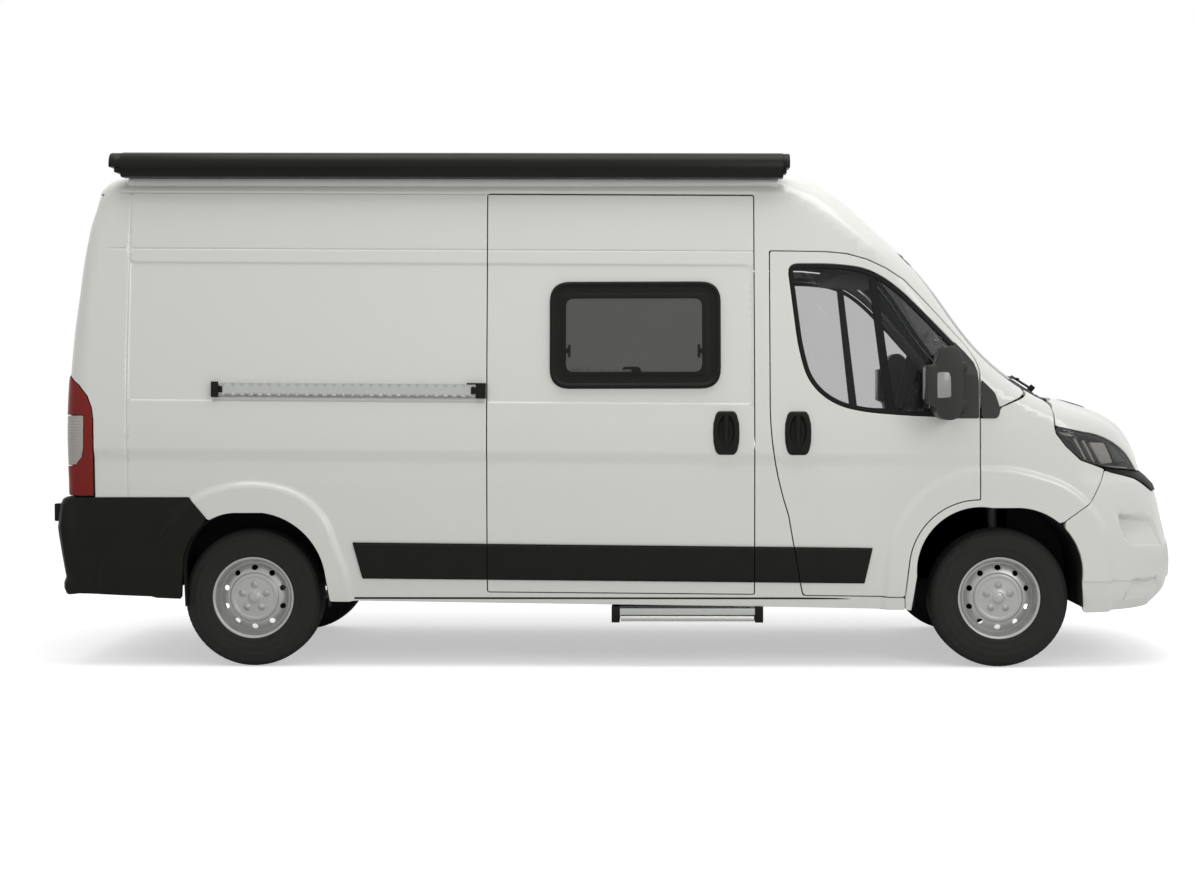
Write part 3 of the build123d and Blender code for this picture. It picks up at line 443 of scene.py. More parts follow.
def fill(loops, extra, rings=()):
    """Triangles inside the loops, through rings and extra points: (points, triangles, loops' indices)."""
    lines = [*loops, *rings]
    points = np.concatenate([*lines, extra])
    edges, start = [], 0
    for line in lines:
        edges += [(start + i, start + (i + 1) % len(line)) for i in range(len(line))]
        start += len(line)
    flat, _, tris, origin, _, _ = delaunay_2d_cdt([Vector(p) for p in points.tolist()], edges, [], 0, 1e-6)
    where = np.zeros(len(points), int)
    for new, olds in enumerate(origin):
        where[olds] = new
    flat, tris = np.array([tuple(p) for p in flat]), np.array(tris)
    return flat, tris[within(flat[tris].mean(1), loops)], where


def off_middle(points, line):
    """How far points lie from a middle line, square to it."""
    s, z = points[..., 0], points[..., 1]
    slope = (line(z + 0.001) - line(z - 0.001)) / 0.002
    return np.abs(s - line(z)) / np.sqrt(1 + slope**2)


def near_middle(points, centre, room):
    """Whether points lie on the roof's cap or within room of a middle line."""
    near = points[..., 1] > CAP - 0.0005
    for line in centre:
        near = near | (off_middle(points, line) < room)
    return near


def follow(points, centre, snap):
    """Adds points where an edge runs along a middle line, so that both halves meet there."""
    made = []
    for a, b in zip(points, np.roll(points, -1, 0)):
        made.append(a)
        for line in centre:
            if max(off_middle(a, line), off_middle(b, line)) < snap and abs(a[1] - b[1]) > snap:
                count = 2 + int(abs(a[1] - b[1]) / 0.005)
                made += [np.array((float(line(h)), h)) for h in np.linspace(a[1], b[1], count)[1:-1]]
    return np.array(made)


def snapped(loop, centre, snap):
    """The loop with its points near a middle line or the roof's cap moved onto it."""
    loop[loop[:, 1] > CAP - snap, 1] = CAP
    for line in centre:
        hit = off_middle(loop, line) < snap
        loop[hit, 0] = line(loop[:, 1])[hit]
    return apart(loop)


def clear_of(grid, points, room):
    """The grid's points that lie further than room from the given points."""
    tree = KDTree(len(points))
    for i, p in enumerate(points):
        tree.insert((p[0], p[1], 0), i)
    tree.balance()
    return np.array([p for p in grid if tree.find((p[0], p[1], 0))[2] > room]).reshape(-1, 2)


def panel_grid(loops, rings, step, rows, guides):
    """Points inside a panel, in rows along the body lines' slope and on the guides, clear of its rings."""
    low, high = loops[0].min(0), loops[0].max(0)
    heights = np.arange(low[1] - 0.03, high[1] + 0.03, step)
    if len(rows):
        heights = [h for h in heights if np.min(np.abs(np.array(rows) - h)) > step * 0.3]
        heights = np.concatenate([heights, rows])
    s, rise = np.meshgrid(np.arange(low[0] - step, high[0] + step, step), heights)
    grid = np.stack([s.ravel(), (rise - RAKE * s).ravel()], 1)
    if len(guides):
        lines = np.concatenate([g for g in guides if len(g)])
        grid = np.concatenate([clear_of(grid, lines, 0.009), lines])
    return clear_of(grid[within(grid, loops)], np.concatenate(rings), 0.0055)


def panel_rim(loops, where, count, free_of):
    """Each flat point's way outwards, whether it lies on a free edge, and the edges that get a side face."""
    outwards, pull, rim, start = np.zeros((count, 2)), np.zeros(count), [], 0
    for i, loop in enumerate(loops):
        away = unit(grow(loop, 1e-3 if i == 0 else -1e-3) - loop)
        free = ~free_of(loop)
        for k in range(len(loop)):
            following = (k + 1) % len(loop)
            if free[k]:
                outwards[where[start + k]], pull[where[start + k]] = away[k], 1
            if free[k] or free[following]:
                pair = (start + k, start + following)
                rim.append(pair if i == 0 else pair[::-1])
        start += len(loop)
    return outwards, pull, rim


def welded(verts, faces):
    """The faces with the two halves' points on the middle plane made one."""
    order, found = np.arange(len(verts)), {}
    for i in np.nonzero(np.abs(verts[:, 1]) < 2e-5)[0]:
        order[i] = found.setdefault(tuple(np.round(verts[i] * 2e4).astype(int)), i)
    return [[int(order[v]) for v in face] for face in faces]


def panel(name, outline, mat, *, holes=(), sides=(-1,), centre=(), gap=0.003, lip=0.0035, drop=0.0022,
          deep=0.02, lift=0.0, step=0.045, rows=(), guides=(), relief=level, radius=0.012, body="body",
          slot="usual", base=body_skin, smallest=0.016):
    """A closed sheet on the skin, cut to an outline in (s, z), with rounded edges and pressed lines."""
    snap = max(2.2 * gap, 0.004)
    corners = soften(outline, radius, sharp=lambda point: near_middle(point, centre, 0.001))
    loops = [grow(counter_clockwise(corners), -gap)] + [grow(rounded(hole, radius), gap) for hole in holes]
    loops = [snapped(refine(follow(loop, centre, snap), smallest, rows), centre, snap) for loop in loops]
    rings = [grow(loop, -lip if i == 0 else lip) for i, loop in enumerate(loops)]
    grid = panel_grid(loops, rings, step, rows, guides)
    flat, tris, where = fill(loops, grid, rings)
    flat_in, tris_in, where_in = fill(loops, grid[::7] if len(grid) > 60 else grid)
    outwards, pull, rim = panel_rim(loops, where, len(flat), lambda loop: near_middle(loop, centre, snap))

    def raised(ds, dz):
        s, z = flat[:, 0] + ds, flat[:, 1] + dz
        return lifted(base, s, z, relief(s, z) + lift)[0]

    e = 0.0012
    outer = lifted(base, flat[:, 0], flat[:, 1], relief(flat[:, 0], flat[:, 1]) + lift - drop * pull)[0]
    along, up = raised(e, 0) - raised(-e, 0), raised(0, e) - raised(0, -e)
    normal, along, up = unit(np.cross(along, up)), unit(along), unit(up)
    away = along * outwards[:, :1] + up * outwards[:, 1:]
    normal = unit(normal + 1.1 * away * pull[:, None])
    inner, inner_normal = lifted(base, flat_in[:, 0], flat_in[:, 1], np.full(len(flat_in), lift - deep))

    verts, faces, normals = [], [], []
    for side in sides:
        flip = np.array([1, side * -1.0, 1])
        start = sum(len(v) for v in verts)
        verts += [outer * flip, inner * flip]
        shift = start + len(outer)
        turned = -1 if side > 0 else 1
        for tri in tris[:, ::turned]:
            faces.append([start + v for v in tri])
            normals += [normal[v] * flip for v in tri]
        for tri in tris_in[:, ::-turned]:
            faces.append([shift + v for v in tri])
            normals += [-(inner_normal[v] * flip) for v in tri]
        for a, b in rim:
            quad = [start + where[a], shift + where_in[a], shift + where_in[b], start + where[b]]
            if len(set(quad)) == 4:
                faces.append(quad[::turned])
                normals += [away[where[a]] * flip] * 4
    verts = np.concatenate(verts)
    if len(sides) > 1 and centre:
        faces = welded(verts, faces)
    return mesh_object(name, verts, faces, mat, normals=normals, body=body, slot=slot)


# ---------------------------------------------------------------- side-view outlines of the body
DOOR = trace([
    (0.805, 2.247), (1.110, 2.241), (1.222, 2.230), (1.330, 2.199), (1.430, 2.151), (1.525, 2.088),
    (1.818, 1.789), ((1.898, 1.690), (1.925, 1.560)), (1.925, 0.908), ((1.690, 0.828), (1.550, 0.572)),
    (1.529, 0.384), (0.983, 0.389), (0.967, 0.461), (0.903, 0.827), ((0.832, 1.110), (0.805, 1.400)),
])
DOOR_FRONT, DOOR_FOOT = DOOR.index((1.925, 0.908)) - 1, DOOR.index((1.529, 0.384))
DOOR_WINDOW = soften([
    (0.902, 2.176), (1.142, 2.176), (1.308, 2.155), (1.411, 2.107), (1.514, 2.028), (1.719, 1.819),
    (1.835, 1.700), (1.868, 1.600), (1.760, 1.350), (1.507, 1.362), (1.321, 1.378), (1.198, 1.404),
    (1.115, 1.445), (1.049, 1.502), (1.002, 1.572), (0.977, 1.655), (0.954, 1.759),
], 0.055, flow=True)
FRONT_ARCH = trace([
    (1.566, 0.250), (1.593, 0.500), ((1.705, 0.782), (1.990, 0.862)), (2.100, 0.862),
    ((2.388, 0.740), (2.470, 0.470)), (2.478, 0.250),
])
REAR_ARCH = trace([
    (-2.350, 0.250), (-2.362, 0.560), ((-2.272, 0.757), (-2.060, 0.837)), (-1.930, 0.837),
    ((-1.700, 0.720), (-1.595, 0.500)), (-1.568, 0.250),
])
FRONT_FLARE = np.array(trace([
    (1.395, 0.20), (1.420, 0.56), ((1.540, 0.880), (1.790, 1.068)), ((2.020, 1.092), (2.258, 1.046)),
    ((2.480, 0.930), (2.600, 0.760)), (2.680, 0.20),
]))
REAR_FLARE = np.array(trace([
    (-2.560, 0.20), (-2.520, 0.62), ((-2.380, 0.880), (-2.170, 0.990)), ((-1.990, 1.014), (-1.830, 0.992)),
    ((-1.640, 0.890), (-1.533, 0.709)), (-1.455, 0.500), (-1.415, 0.20),
]))
FLARES = (FRONT_FLARE, REAR_FLARE)
SWAGE_TOP, SWAGE_FOOT = 1.165, 1.103
RECESS_FOOT, RECESS_TOP, GUTTER, ROOF_LINE = 1.420, 2.182, 2.250, 2.556
RECESS = (-2.668, 0.722)
GROOVE_WIDE = 0.0035


def rear_seam(z):
    """x of the upright seam near the tail."""
    return -2.664 - 0.006 * np.sin((z - 0.9) * 2)


def flare_rise(s, z, flare):
    """How far up an arch's flare a point lies, from 0 off it to 1 on it."""
    return smooth((depth_inside(s, z, flare) + 0.004) / 0.038)


def body_lines(s, z):
    """How far the painted side stands out of or into the plain skin."""
    rise = z + RAKE * s
    ahead = 1 - 0.75 * smooth((s - 0.9) / 1.0)
    d = 0.006 - 0.014 * smooth((SWAGE_TOP - rise) / (SWAGE_TOP - SWAGE_FOOT)) * ahead
    edge = np.minimum(np.minimum(rise - RECESS_FOOT, RECESS_TOP - rise),
                      np.minimum(s - RECESS[0], RECESS[1] - s))
    d -= 0.008 * smooth(edge / 0.016)
    shown = smooth((RECESS[1] + 0.004 - s) / 0.01) * smooth((s + 2.80) / 0.05)
    for groove in (GUTTER, ROOF_LINE):
        d -= 0.004 * ridge_at(rise - groove, GROOVE_WIDE) * shown
    upright = smooth((z - 0.90) / 0.02) * smooth((2.545 - z) / 0.01)
    d -= 0.004 * ridge_at(s - rear_seam(z), GROOVE_WIDE) * upright
    d *= smooth((s + 2.95) / 0.07) * (1 - smooth((s - 1.85) / 0.4)) * (1 - smooth((rise - 2.562) / 0.05))
    for flare in FLARES:
        near = (np.abs(s - flare[:, 0].mean()) < 0.80) & (z < 1.14)
        if near.any():
            t = flare_rise(s[near], z[near], flare)
            d[near] = d[near] * (1 - t) + 0.013 * t
    return d


FOLD = (-0.006, 0.0, 0.008, 0.016, 0.022)
GROOVE = (-0.008, -0.004, 0.0, 0.004, 0.008)
SIDE_ROWS = [line + by * way for line, way, offsets in (
    (SWAGE_TOP, 1, (0.008, -0.008, -0.024, -0.038, -0.054, -0.07)), (RECESS_FOOT, 1, FOLD),
    (RECESS_TOP, -1, FOLD), (GUTTER, 1, GROOVE), (ROOF_LINE, 1, GROOVE)) for by in offsets]


def columns_at(places, low, high, offsets=FOLD, step=0.04):
    """Guide points up lines beside each x; its way is 1 where the offsets run to the front."""
    heights = np.arange(low, high, step)
    return [np.array([(x + by * way, h) for h in heights]) for x, way in places for by in offsets]


FLARE_GUIDES = [grow(refine(counter_clockwise(flare), 0.02), by) for flare in FLARES
                for by in (0.012, 0.002, -0.008, -0.018, -0.030, -0.042)]
SEAM_HEIGHTS = np.arange(0.91, 2.56, 0.04)
RECESS_GUIDES = columns_at(((RECESS[0], 1), (RECESS[1], -1)), 1.40, 2.22)
RECESS_GUIDES += [np.stack([rear_seam(SEAM_HEIGHTS) + by, SEAM_HEIGHTS], 1) for by in GROOVE]

SLIDING = [(-0.718, 2.5611), (0.722, 2.5489), (0.722, 0.3949), (-0.718, 0.4071)]
DOOR_EDGE_Y = 0.841  # the rear doors' outer edge
DOOR_HEAD = 2.5715  # the rear doors' upper edge
SCREEN_TOP, SCREEN_FOOT = 2.236, 1.475


def screen_half(z):
    """Half the windscreen's width."""
    return np.interp(z, (1.48, 2.20), (0.852, 0.772))


def screen_edge(z):
    """s of the windscreen's side edge."""
    return nose_by_y(screen_half(z), z)


def tail_at(y):
    """The line up the tail at a distance off the middle."""
    return lambda z: tail_by_y(y, z)


def run(place, low, high, count=12):
    """Points up a line on the skin, from low to high."""
    return [(float(place(z)), float(z)) for z in np.linspace(low, high, count)]


def across(height, start, end, count=14, place=nose_by_y):
    """Points along the nose or the tail at one height, between two distances off the middle."""
    return [(float(place(y, height)), height) for y in np.linspace(start, end, count)]


def by_x(points):
    """(s, z) of side-view points (x, z)."""
    return [(float(side_at(x, z)), z) for x, z in points]


LAMP_SIDE = [(-2.849, 1.341), (-2.858, 1.406), (-2.882, 1.470), (-2.930, 1.530), (-3.000, 1.575)]


def body_side_outline():
    """The painted side and half the roof's edge, round the cab door, the arch, tail lamp and windscreen."""
    rear = [(-2.245, 0.812), (-2.365, 0.912), (-2.842, 0.912), *LAMP_SIDE, (-3.046, 1.590)]
    rear += run(tail_at(DOOR_EDGE_Y), 1.605, 2.571, 16) + across(DOOR_HEAD, 0.80, 0.0, 18, tail_by_y)
    rear += run(tail_middle, 2.58, CAP, 4)
    top = [(float(s), CAP) for s in np.linspace(float(tail_middle(CAP)), float(nose_at(CAP)), 60)][1:-1]
    front = run(nose_at, CAP, SCREEN_TOP, 12) + across(SCREEN_TOP, 0.06, 0.772, 10)
    front += run(screen_edge, 2.20, 1.505, 18) + [(2.040, 1.404), (1.928, 1.390)]
    doorway = DOOR[DOOR_FRONT::-1] + DOOR[: DOOR_FOOT - 1 : -1]
    arch = [p for p in REAR_ARCH if p[1] > 0.36 and p[0] > -2.235]
    return rear + top + front + doorway + [(1.532, 0.313), (-1.573, 0.357)] + arch[::-1]


BODY_SIDE = body_side_outline()
CENTRES = (nose_at, tail_middle)

# ---------------------------------------------------------------- painted panels
for name, side in SIDES.items():
    piece = panel(f"body_side_{name}", BODY_SIDE, PAINT, holes=[SLIDING] if side < 0 else [], sides=(side,),
                  centre=CENTRES, rows=SIDE_ROWS, guides=FLARE_GUIDES + RECESS_GUIDES, relief=body_lines)
    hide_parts(f"side_panel_{name}")
    door = panel(f"cab_door_skin_{name}", DOOR, PAINT, holes=[DOOR_WINDOW], sides=(side,), rows=SIDE_ROWS,
                 radius=0.02, guides=FLARE_GUIDES, relief=body_lines, deep=0.05, body=f"door_{name}")
    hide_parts(f"cab_door_{name}")

WINDOW_OUTER = [(-0.379, 1.505), (0.542, 1.505), (0.542, 2.083), (-0.379, 2.083)]
WINDOW_CUT = grow(WINDOW_OUTER, -0.03)
sliding = panel("sliding_door_skin", SLIDING, PAINT, holes=[WINDOW_CUT], rows=SIDE_ROWS, relief=body_lines,
                deep=0.05, guides=columns_at(((RECESS[1], -1),), 1.40, 2.22))
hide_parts("sliding_door")


def roof_rings():
    """Points from the drip line inwards, ring by ring, with five pressed ribs along the top."""
    table = np.linspace(2.6, 2.702, 3000)
    widths = np.linspace(float(COLUMNS[0](CAP - 0.004)), 0.27, 52)
    heights = np.interp(-widths, -COLUMNS[0](table), table)
    heights[1] = CAP
    share = [np.linspace(i, i + 1, count, endpoint=i == 4) for i, count in enumerate((13, 17, 79, 13, 26))]
    rings = []
    for z in heights:
        p = section(z)
        knots = [tail_middle(z), p.tail + p.heel - p.heel * pi / 2, p.tail + p.heel, p.x_corner,
                 p.x_corner + p.bend, nose_at(z)]
        s = np.interp(np.concatenate(share), range(6), [float(knot) for knot in knots])
        rings.append(body_skin(s, np.full(len(s), z)))
    last = rings[-1]
    middle = last[:, 0].mean()
    for t in np.linspace(0, 1, 20)[1:]:
        x = (last[:, 0] - middle) * (1 - 0.10 * t) + middle
        rings.append(np.stack([x, last[:, 1] * (1 - t), last[:, 2] + 0.0035 * t], 1))
    grid = np.array(rings)
    rib = sum(smooth((0.042 - np.abs(np.abs(grid[..., 1]) - at)) / 0.016) for at in (0.0, 0.21, 0.42))
    ends = smooth((grid[..., 0] + 2.55) / 0.10) * smooth((0.55 - grid[..., 0]) / 0.10)
    grid[..., 2] += 0.006 * rib * ends * (np.arange(len(grid)) > 4)[:, None]
    return grid


def roof_cap():
    """The roof above the drip line, mirrored about the middle plane."""
    grid = roof_rings()
    normal = unit(np.cross(np.gradient(grid, axis=1), np.gradient(grid, axis=0)))
    grid, normal = grid[1:], normal[1:]
    rows, count = grid.shape[:2]
    verts, faces, normals = [], [], []
    for flip in (1, -1):
        start = len(verts) * rows * count
        verts.append((grid * (1, flip, 1)).reshape(-1, 3))
        for r in range(rows - 1):
            for c in range(count - 1):
                quad = [(r, c), (r, c + 1), (r + 1, c + 1), (r + 1, c)][::flip]
                faces.append([start + i * count + j for i, j in quad])
                normals += [normal[i, j] * (1, flip, 1) for i, j in quad]
    cap = mesh_object("roof_cap", np.concatenate(verts), faces, PAINT, normals=normals)
    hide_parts("roof_panel")


roof_cap()

# ---------------------------------------------------------------- bonnet, wings and bumper
HEADLAMP_TOP = trace([(2.345, 1.295), (2.480, 1.268), ((2.640, 1.220), (2.740, 1.150)), (2.812, 1.052)])
BAND_TOP = 1.052


def find_height(x, y):
    """Height at which the nose passes through x, y."""
    table = np.linspace(1.30, 1.475, 400)
    p = section(table)
    on_corner = p.x_corner + np.sqrt(np.maximum(p.corner**2 - np.maximum(y - p.y_corner, 0) ** 2, 0))
    along = np.where(y <= p.radius * np.sin(p.turn), p.x_arc + np.sqrt(p.radius**2 - y**2), on_corner)
    return float(np.interp(-x, -along, table))


def bonnet_rear(y):
    """x of the bonnet's rear edge."""
    return 2.300 + 0.128 * (1 - (y / 0.86) ** 2)


def along_nose(x_at, start, end, count):
    """Points on the nose at x_at(y), between two distances off the middle."""
    points = []
    for y in np.linspace(start, end, count):
        z = find_height(x_at(y), y)
        points.append((float(nose_by_y(y, z)), z))
    return points


BONNET_REAR = along_nose(bonnet_rear, 0.0, 0.86, 22)
BONNET = BONNET_REAR + [(2.318, 1.400), (2.322, 1.303)] + by_x(HEADLAMP_TOP)
BONNET += [(float(s), BAND_TOP) for s in np.linspace(BONNET[-1][0], float(nose_at(BAND_TOP)), 24)][1:]
BONNET += run(nose_at, BAND_TOP, BONNET_REAR[0][1], 16)[1:-1]


def bonnet_lines(s, z):
    """A long crease each side and a slight crown."""
    x, y = skin(s, z)
    crease = 0.56 + 0.18 * np.clip((2.95 - x) / 0.65, 0, 1.2)
    return 0.010 * smooth((crease - y) / 0.05) * smooth((2.94 - x) / 0.2) * smooth((x - 2.33) / 0.1)


bonnet = panel("bonnet_skin", BONNET, PAINT, sides=BOTH, centre=(nose_at,), relief=bonnet_lines, step=0.03,
               deep=0.022, body="bonnet")
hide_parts("bonnet")

LAMP_REAR = [(2.322, 1.297), (2.330, 1.262), (2.381, 1.195), (2.461, 1.120), (2.571, 1.082)]
BUMPER_SEAM = [(2.600, 1.070), (2.572, 1.002), (2.514, 0.891), (2.374, 0.789)]
WING = [(1.925, 1.345), (1.985, 1.352), (2.006, 1.360), (2.040, 1.404),
        (float(nose_by_y(0.840, 1.500)), 1.500), (2.335, 1.472), (2.318, 1.440), (2.318, 1.400), *LAMP_REAR,
        *BUMPER_SEAM]
WING += [p for p in FRONT_ARCH if p[1] > 0.32 and p[0] < 2.36][::-1]
WING += [(1.566, 0.311), (1.532, 0.313), (1.529, 0.384)] + DOOR[DOOR_FOOT - 1 : DOOR_FRONT : -1]
wings = panel("front_wing_skins", WING, PAINT, sides=BOTH, guides=FLARE_GUIDES, relief=body_lines,
              radius=0.006, rows=(SWAGE_TOP, SWAGE_FOOT), step=0.03)
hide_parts("front_wings")

FOG = [(2.673, 0.832), (2.937, 0.796), (3.013, 0.660), (2.757, 0.676), (2.716, 0.701), (2.688, 0.762)]
LOWER = [(2.769, 0.479), (2.975, 0.463), (3.044, 0.425), (3.037, 0.345), (2.733, 0.348)]
GRILLE_Y, GRILLE_TOP, GRILLE_FOOT = 0.53, 0.800, 0.520
BAND_EDGE = [(2.600, 1.066), (2.634, 1.054), (2.817, 1.018), (2.944, 0.966), (3.000, 0.945)]


def grille_outline(by):
    low, high = GRILLE_FOOT - by, GRILLE_TOP + by
    foot, top = across(low, GRILLE_Y * 0.88 + by, 0.0), across(high, 0.0, GRILLE_Y + by)
    return foot + run(nose_at, low, high, 8)[1:-1] + top


def bumper_outline():
    arch = [p for p in FRONT_ARCH if p[0] > 2.37 and p[1] > 0.31]
    grille = across(GRILLE_TOP, 0.0, GRILLE_Y) + across(GRILLE_FOOT, GRILLE_Y * 0.88, 0.0)
    foot = across(0.292, 0.0, 0.60, 20) + [(2.486, 0.292)]
    return BAND_EDGE + across(0.940, 0.55, 0.0) + grille + foot + arch[::-1] + BUMPER_SEAM[:0:-1]


def skirt_slope(z):
    """How far the bumper's skirt runs in below its step."""
    return 0.12 * np.clip(0.47 - z, 0, 0.2)


def bumper_lines(s, z):
    """The lower face steps in, and the arch's flare runs into the corner."""
    step_in = 0.009 * smooth((0.475 - z) / 0.012) + skirt_slope(z)
    d = -0.006 * smooth((z - 0.65) / 0.05) * smooth((s - 2.75) / 0.2) - step_in
    for hollow in (FOG, LOWER):
        d = d - 0.006 * smooth((depth_inside(s, z, counter_clockwise(hollow)) + 0.012) / 0.012)
    t = flare_rise(s, z, FRONT_FLARE)
    return d * (1 - t) + (0.018 * smooth((2.90 - s) / 0.05) - step_in) * t


bumper = panel("front_bumper_skin", bumper_outline(), PAINT, holes=[FOG, LOWER], sides=BOTH,
               centre=(nose_at,), guides=FLARE_GUIDES[:6], relief=bumper_lines, step=0.024, radius=0.02,
               gap=0.0016, deep=0.045, rows=(0.482, 0.488, 0.494, 0.500))
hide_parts("front_bumper")
panel("grille", grille_outline(0.02), PLASTIC, sides=BOTH, centre=(nose_at,), gap=0.0, lift=-0.045, deep=0.06,
      relief=lambda s, z: 0.012 * smooth(0.5 + 0.9 * np.sin(z * 2 * pi / 0.035)), step=0.006)


def pocket_lines(hollow, foot):
    """A recess that is deepest under its top edge and at the rear, and runs out to the front and the foot."""
    edge = counter_clockwise(hollow)
    x_rear, x_front = edge[:, 0].min(), edge[:, 0].max()

    def lines(s, z):
        near = smooth(depth_inside(s, z, edge) / 0.016)
        back = np.clip((x_front - s) / (x_front - x_rear), 0.3, 1)
        return -0.062 * near * back * (0.10 + 0.90 * smooth((z - foot) / 0.17)) - skirt_slope(z)

    return lines


for label, hollow, foot in (("fog_pockets", FOG, 0.66), ("bumper_vents", LOWER, 0.345)):
    panel(label, grow(rounded(hollow, 0.02), 0.008), PAINT, sides=BOTH, gap=0.0, lift=-0.010, deep=0.085,
          step=0.008, relief=pocket_lines(hollow, foot))
BAND = [(2.592, 1.074)] + by_x([(2.812, 1.048)]) + across(1.046, 0.55, 0.0) + across(0.943, 0.0, 0.55)
panel("nose_band", BAND + BAND_EDGE[:0:-1], PLASTIC, sides=BOTH, centre=(nose_at,), gap=0.001, lift=0.002,
      radius=0.004)

# ---------------------------------------------------------------- headlamps
HEADLAMP = by_x(HEADLAMP_TOP + [(2.812, 1.056)]) + [(2.700, 1.068), (2.590, 1.082)] + LAMP_REAR[-2::-1]
LAMP_EDGE = counter_clockwise(HEADLAMP)
panel("headlamp_seals", HEADLAMP, RUBBER, holes=[grow(LAMP_EDGE, -0.009)], sides=BOTH, gap=0.0012,
      lift=-0.001, radius=0.002, step=0.03)
lamps = panel("headlamp_lenses", HEADLAMP, LENS, sides=BOTH, gap=0.002, lift=0.003, deep=0.002, step=0.03)
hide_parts("headlamps")
panel("headlamp_bezels", HEADLAMP, LAMP_DARK, sides=BOTH, gap=0.001, deep=0.062, step=0.012,
      relief=lambda s, z: -0.004 - 0.050 * smooth(depth_inside(s, z, LAMP_EDGE) / 0.045))
for label, spot, look in (
    ("main", [(2.519, 1.217), (2.624, 1.216), (2.672, 1.105), (2.586, 1.097)], SMOKED),
    ("shade", [(2.640, 1.214), (2.700, 1.200), (2.790, 1.108), (2.690, 1.106)], LAMP_DARK),
    ("signals", [(2.340, 1.272), (2.412, 1.262), (2.422, 1.246), (2.368, 1.254)], SMOKED),
    ("foot_lights", [(2.590, 1.092), (2.800, 1.080), (2.846, 1.062), (2.606, 1.084)], SMOKED),
    ("guides", [(2.423, 1.237), (2.440, 1.236), (2.500, 1.122), (2.486, 1.122)], SMOKED),
    ("inner_guides", [(2.474, 1.228), (2.490, 1.228), (2.550, 1.107), (2.537, 1.107)], SMOKED),
):
    dome = counter_clockwise(spot)
    panel(f"headlamp_{label}", spot, look, sides=BOTH, gap=0.0, lift=-0.012, deep=0.04, step=0.02,
          radius=0.01, relief=lambda s, z, edge=dome: 0.006 * smooth(depth_inside(s, z, edge) / 0.012))


# ---------------------------------------------------------------- windscreen and cowl
def screen_outline(inset, foot_inset):
    """The foot, side and head lines of half the windscreen, set inwards."""
    low, high = SCREEN_FOOT + foot_inset, SCREEN_TOP - 0.006 - inset
    edge = run(lambda z: nose_by_y(screen_half(z) - inset, z), low + 0.02, high - 0.02, 20)
    return across(low, 0.0, 0.852 - inset - 0.02, 16), edge, across(high, 0.771 - inset, 0.0, 16)


foot, edge, head = screen_outline(0.0, 0.0)
foot_in, edge_in, head_in = screen_outline(0.040, 0.085)
middle = run(nose_at, SCREEN_FOOT, SCREEN_TOP - 0.006, 24)[1:-1]
screen = panel("windscreen_glass", foot[::-1] + middle + head[::-1] + edge[::-1], SCREEN, sides=BOTH,
               centre=(nose_at,), gap=0.004, lift=-0.003, deep=0.007, step=0.05)
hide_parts("windscreen")
panel("windscreen_border", foot + edge + head + head_in[::-1] + edge_in[::-1] + foot_in[::-1], RUBBER,
      sides=BOTH, centre=(nose_at,), gap=0.002, lift=-0.0015, deep=0.014, step=0.03)
cowl = across(SCREEN_FOOT, 0.84, 0.0, 20) + along_nose(lambda y: bonnet_rear(y) - 0.004, 0.0, 0.85, 22)
panel("cowl", cowl, PLASTIC, sides=BOTH, centre=(nose_at,), gap=0.001, lift=-0.004, step=0.012,
      relief=lambda s, z: 0.002 * np.sin(s * 2 * pi / 0.012))
intake = along_nose(lambda y: 2.60, 0.42, 0.0, 12) + along_nose(lambda y: 2.475, 0.0, 0.42, 12)
panel("bonnet_intake", intake, PLASTIC, sides=BOTH, centre=(nose_at,), gap=0.0, lift=0.014, deep=0.012,
      step=0.012, body="bonnet")

# ---------------------------------------------------------------- cab door windows
WINDOW_EDGE = rounded(DOOR_WINDOW, 0.05)
BAR = [(1.328, 2.18), (1.367, 2.18), (1.478, 1.340), (1.428, 1.340)]
SAIL_DOOR = [(1.700, 1.343), (1.790, 1.752), (1.850, 1.692), (1.893, 1.640), (1.912, 1.590), (1.919, 1.540),
             (1.919, 1.343)]
SAIL_WING = [(1.931, 1.343), (1.931, 1.553), (1.970, 1.515), (2.006, 1.478), (2.030, 1.400), (2.030, 1.368),
             (2.014, 1.343)]
for name, side in SIDES.items():
    body = f"door_{name}"
    panel(f"door_window_seal_{name}", WINDOW_EDGE, RUBBER, holes=[grow(WINDOW_EDGE, -0.024)], sides=(side,),
          gap=0.0, lift=0.002, deep=0.03, radius=0.0, lip=0.005, drop=0.004, step=0.05, body=body)
    glass = panel(f"door_glass_{name}", grow(WINDOW_EDGE, -0.020), GLASS, sides=(side,), gap=0.0, lift=-0.006,
                  deep=0.010, radius=0.0, step=0.08, body=body)
    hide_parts(f"cab_door_glass_{name}")
    panel(f"door_window_bar_{name}", BAR, RUBBER, sides=(side,), gap=0.0, lift=-0.002, radius=0.0, step=0.05,
          body=body)
    panel(f"mirror_sail_{name}", SAIL_DOOR, MIRROR, sides=(side,), gap=0.0, lift=0.0115, deep=0.03,
          radius=0.01, body=body)
    panel(f"wing_sail_{name}", SAIL_WING, MIRROR, sides=(side,), gap=0.0, lift=0.0115, deep=0.03, radius=0.02)


# ---------------------------------------------------------------- plain solids
def solid(name, bm, mat, *, body="body", slot="usual", angle=32):
    bmesh.ops.recalc_face_normals(bm, faces=bm.faces)
    mesh = bpy.data.meshes.new(name)
    bm.to_mesh(mesh)
    bm.free()
    made = placed(name, mesh, mat, body, slot)
    mesh.set_sharp_from_angle(angle=radians(angle))
    return made


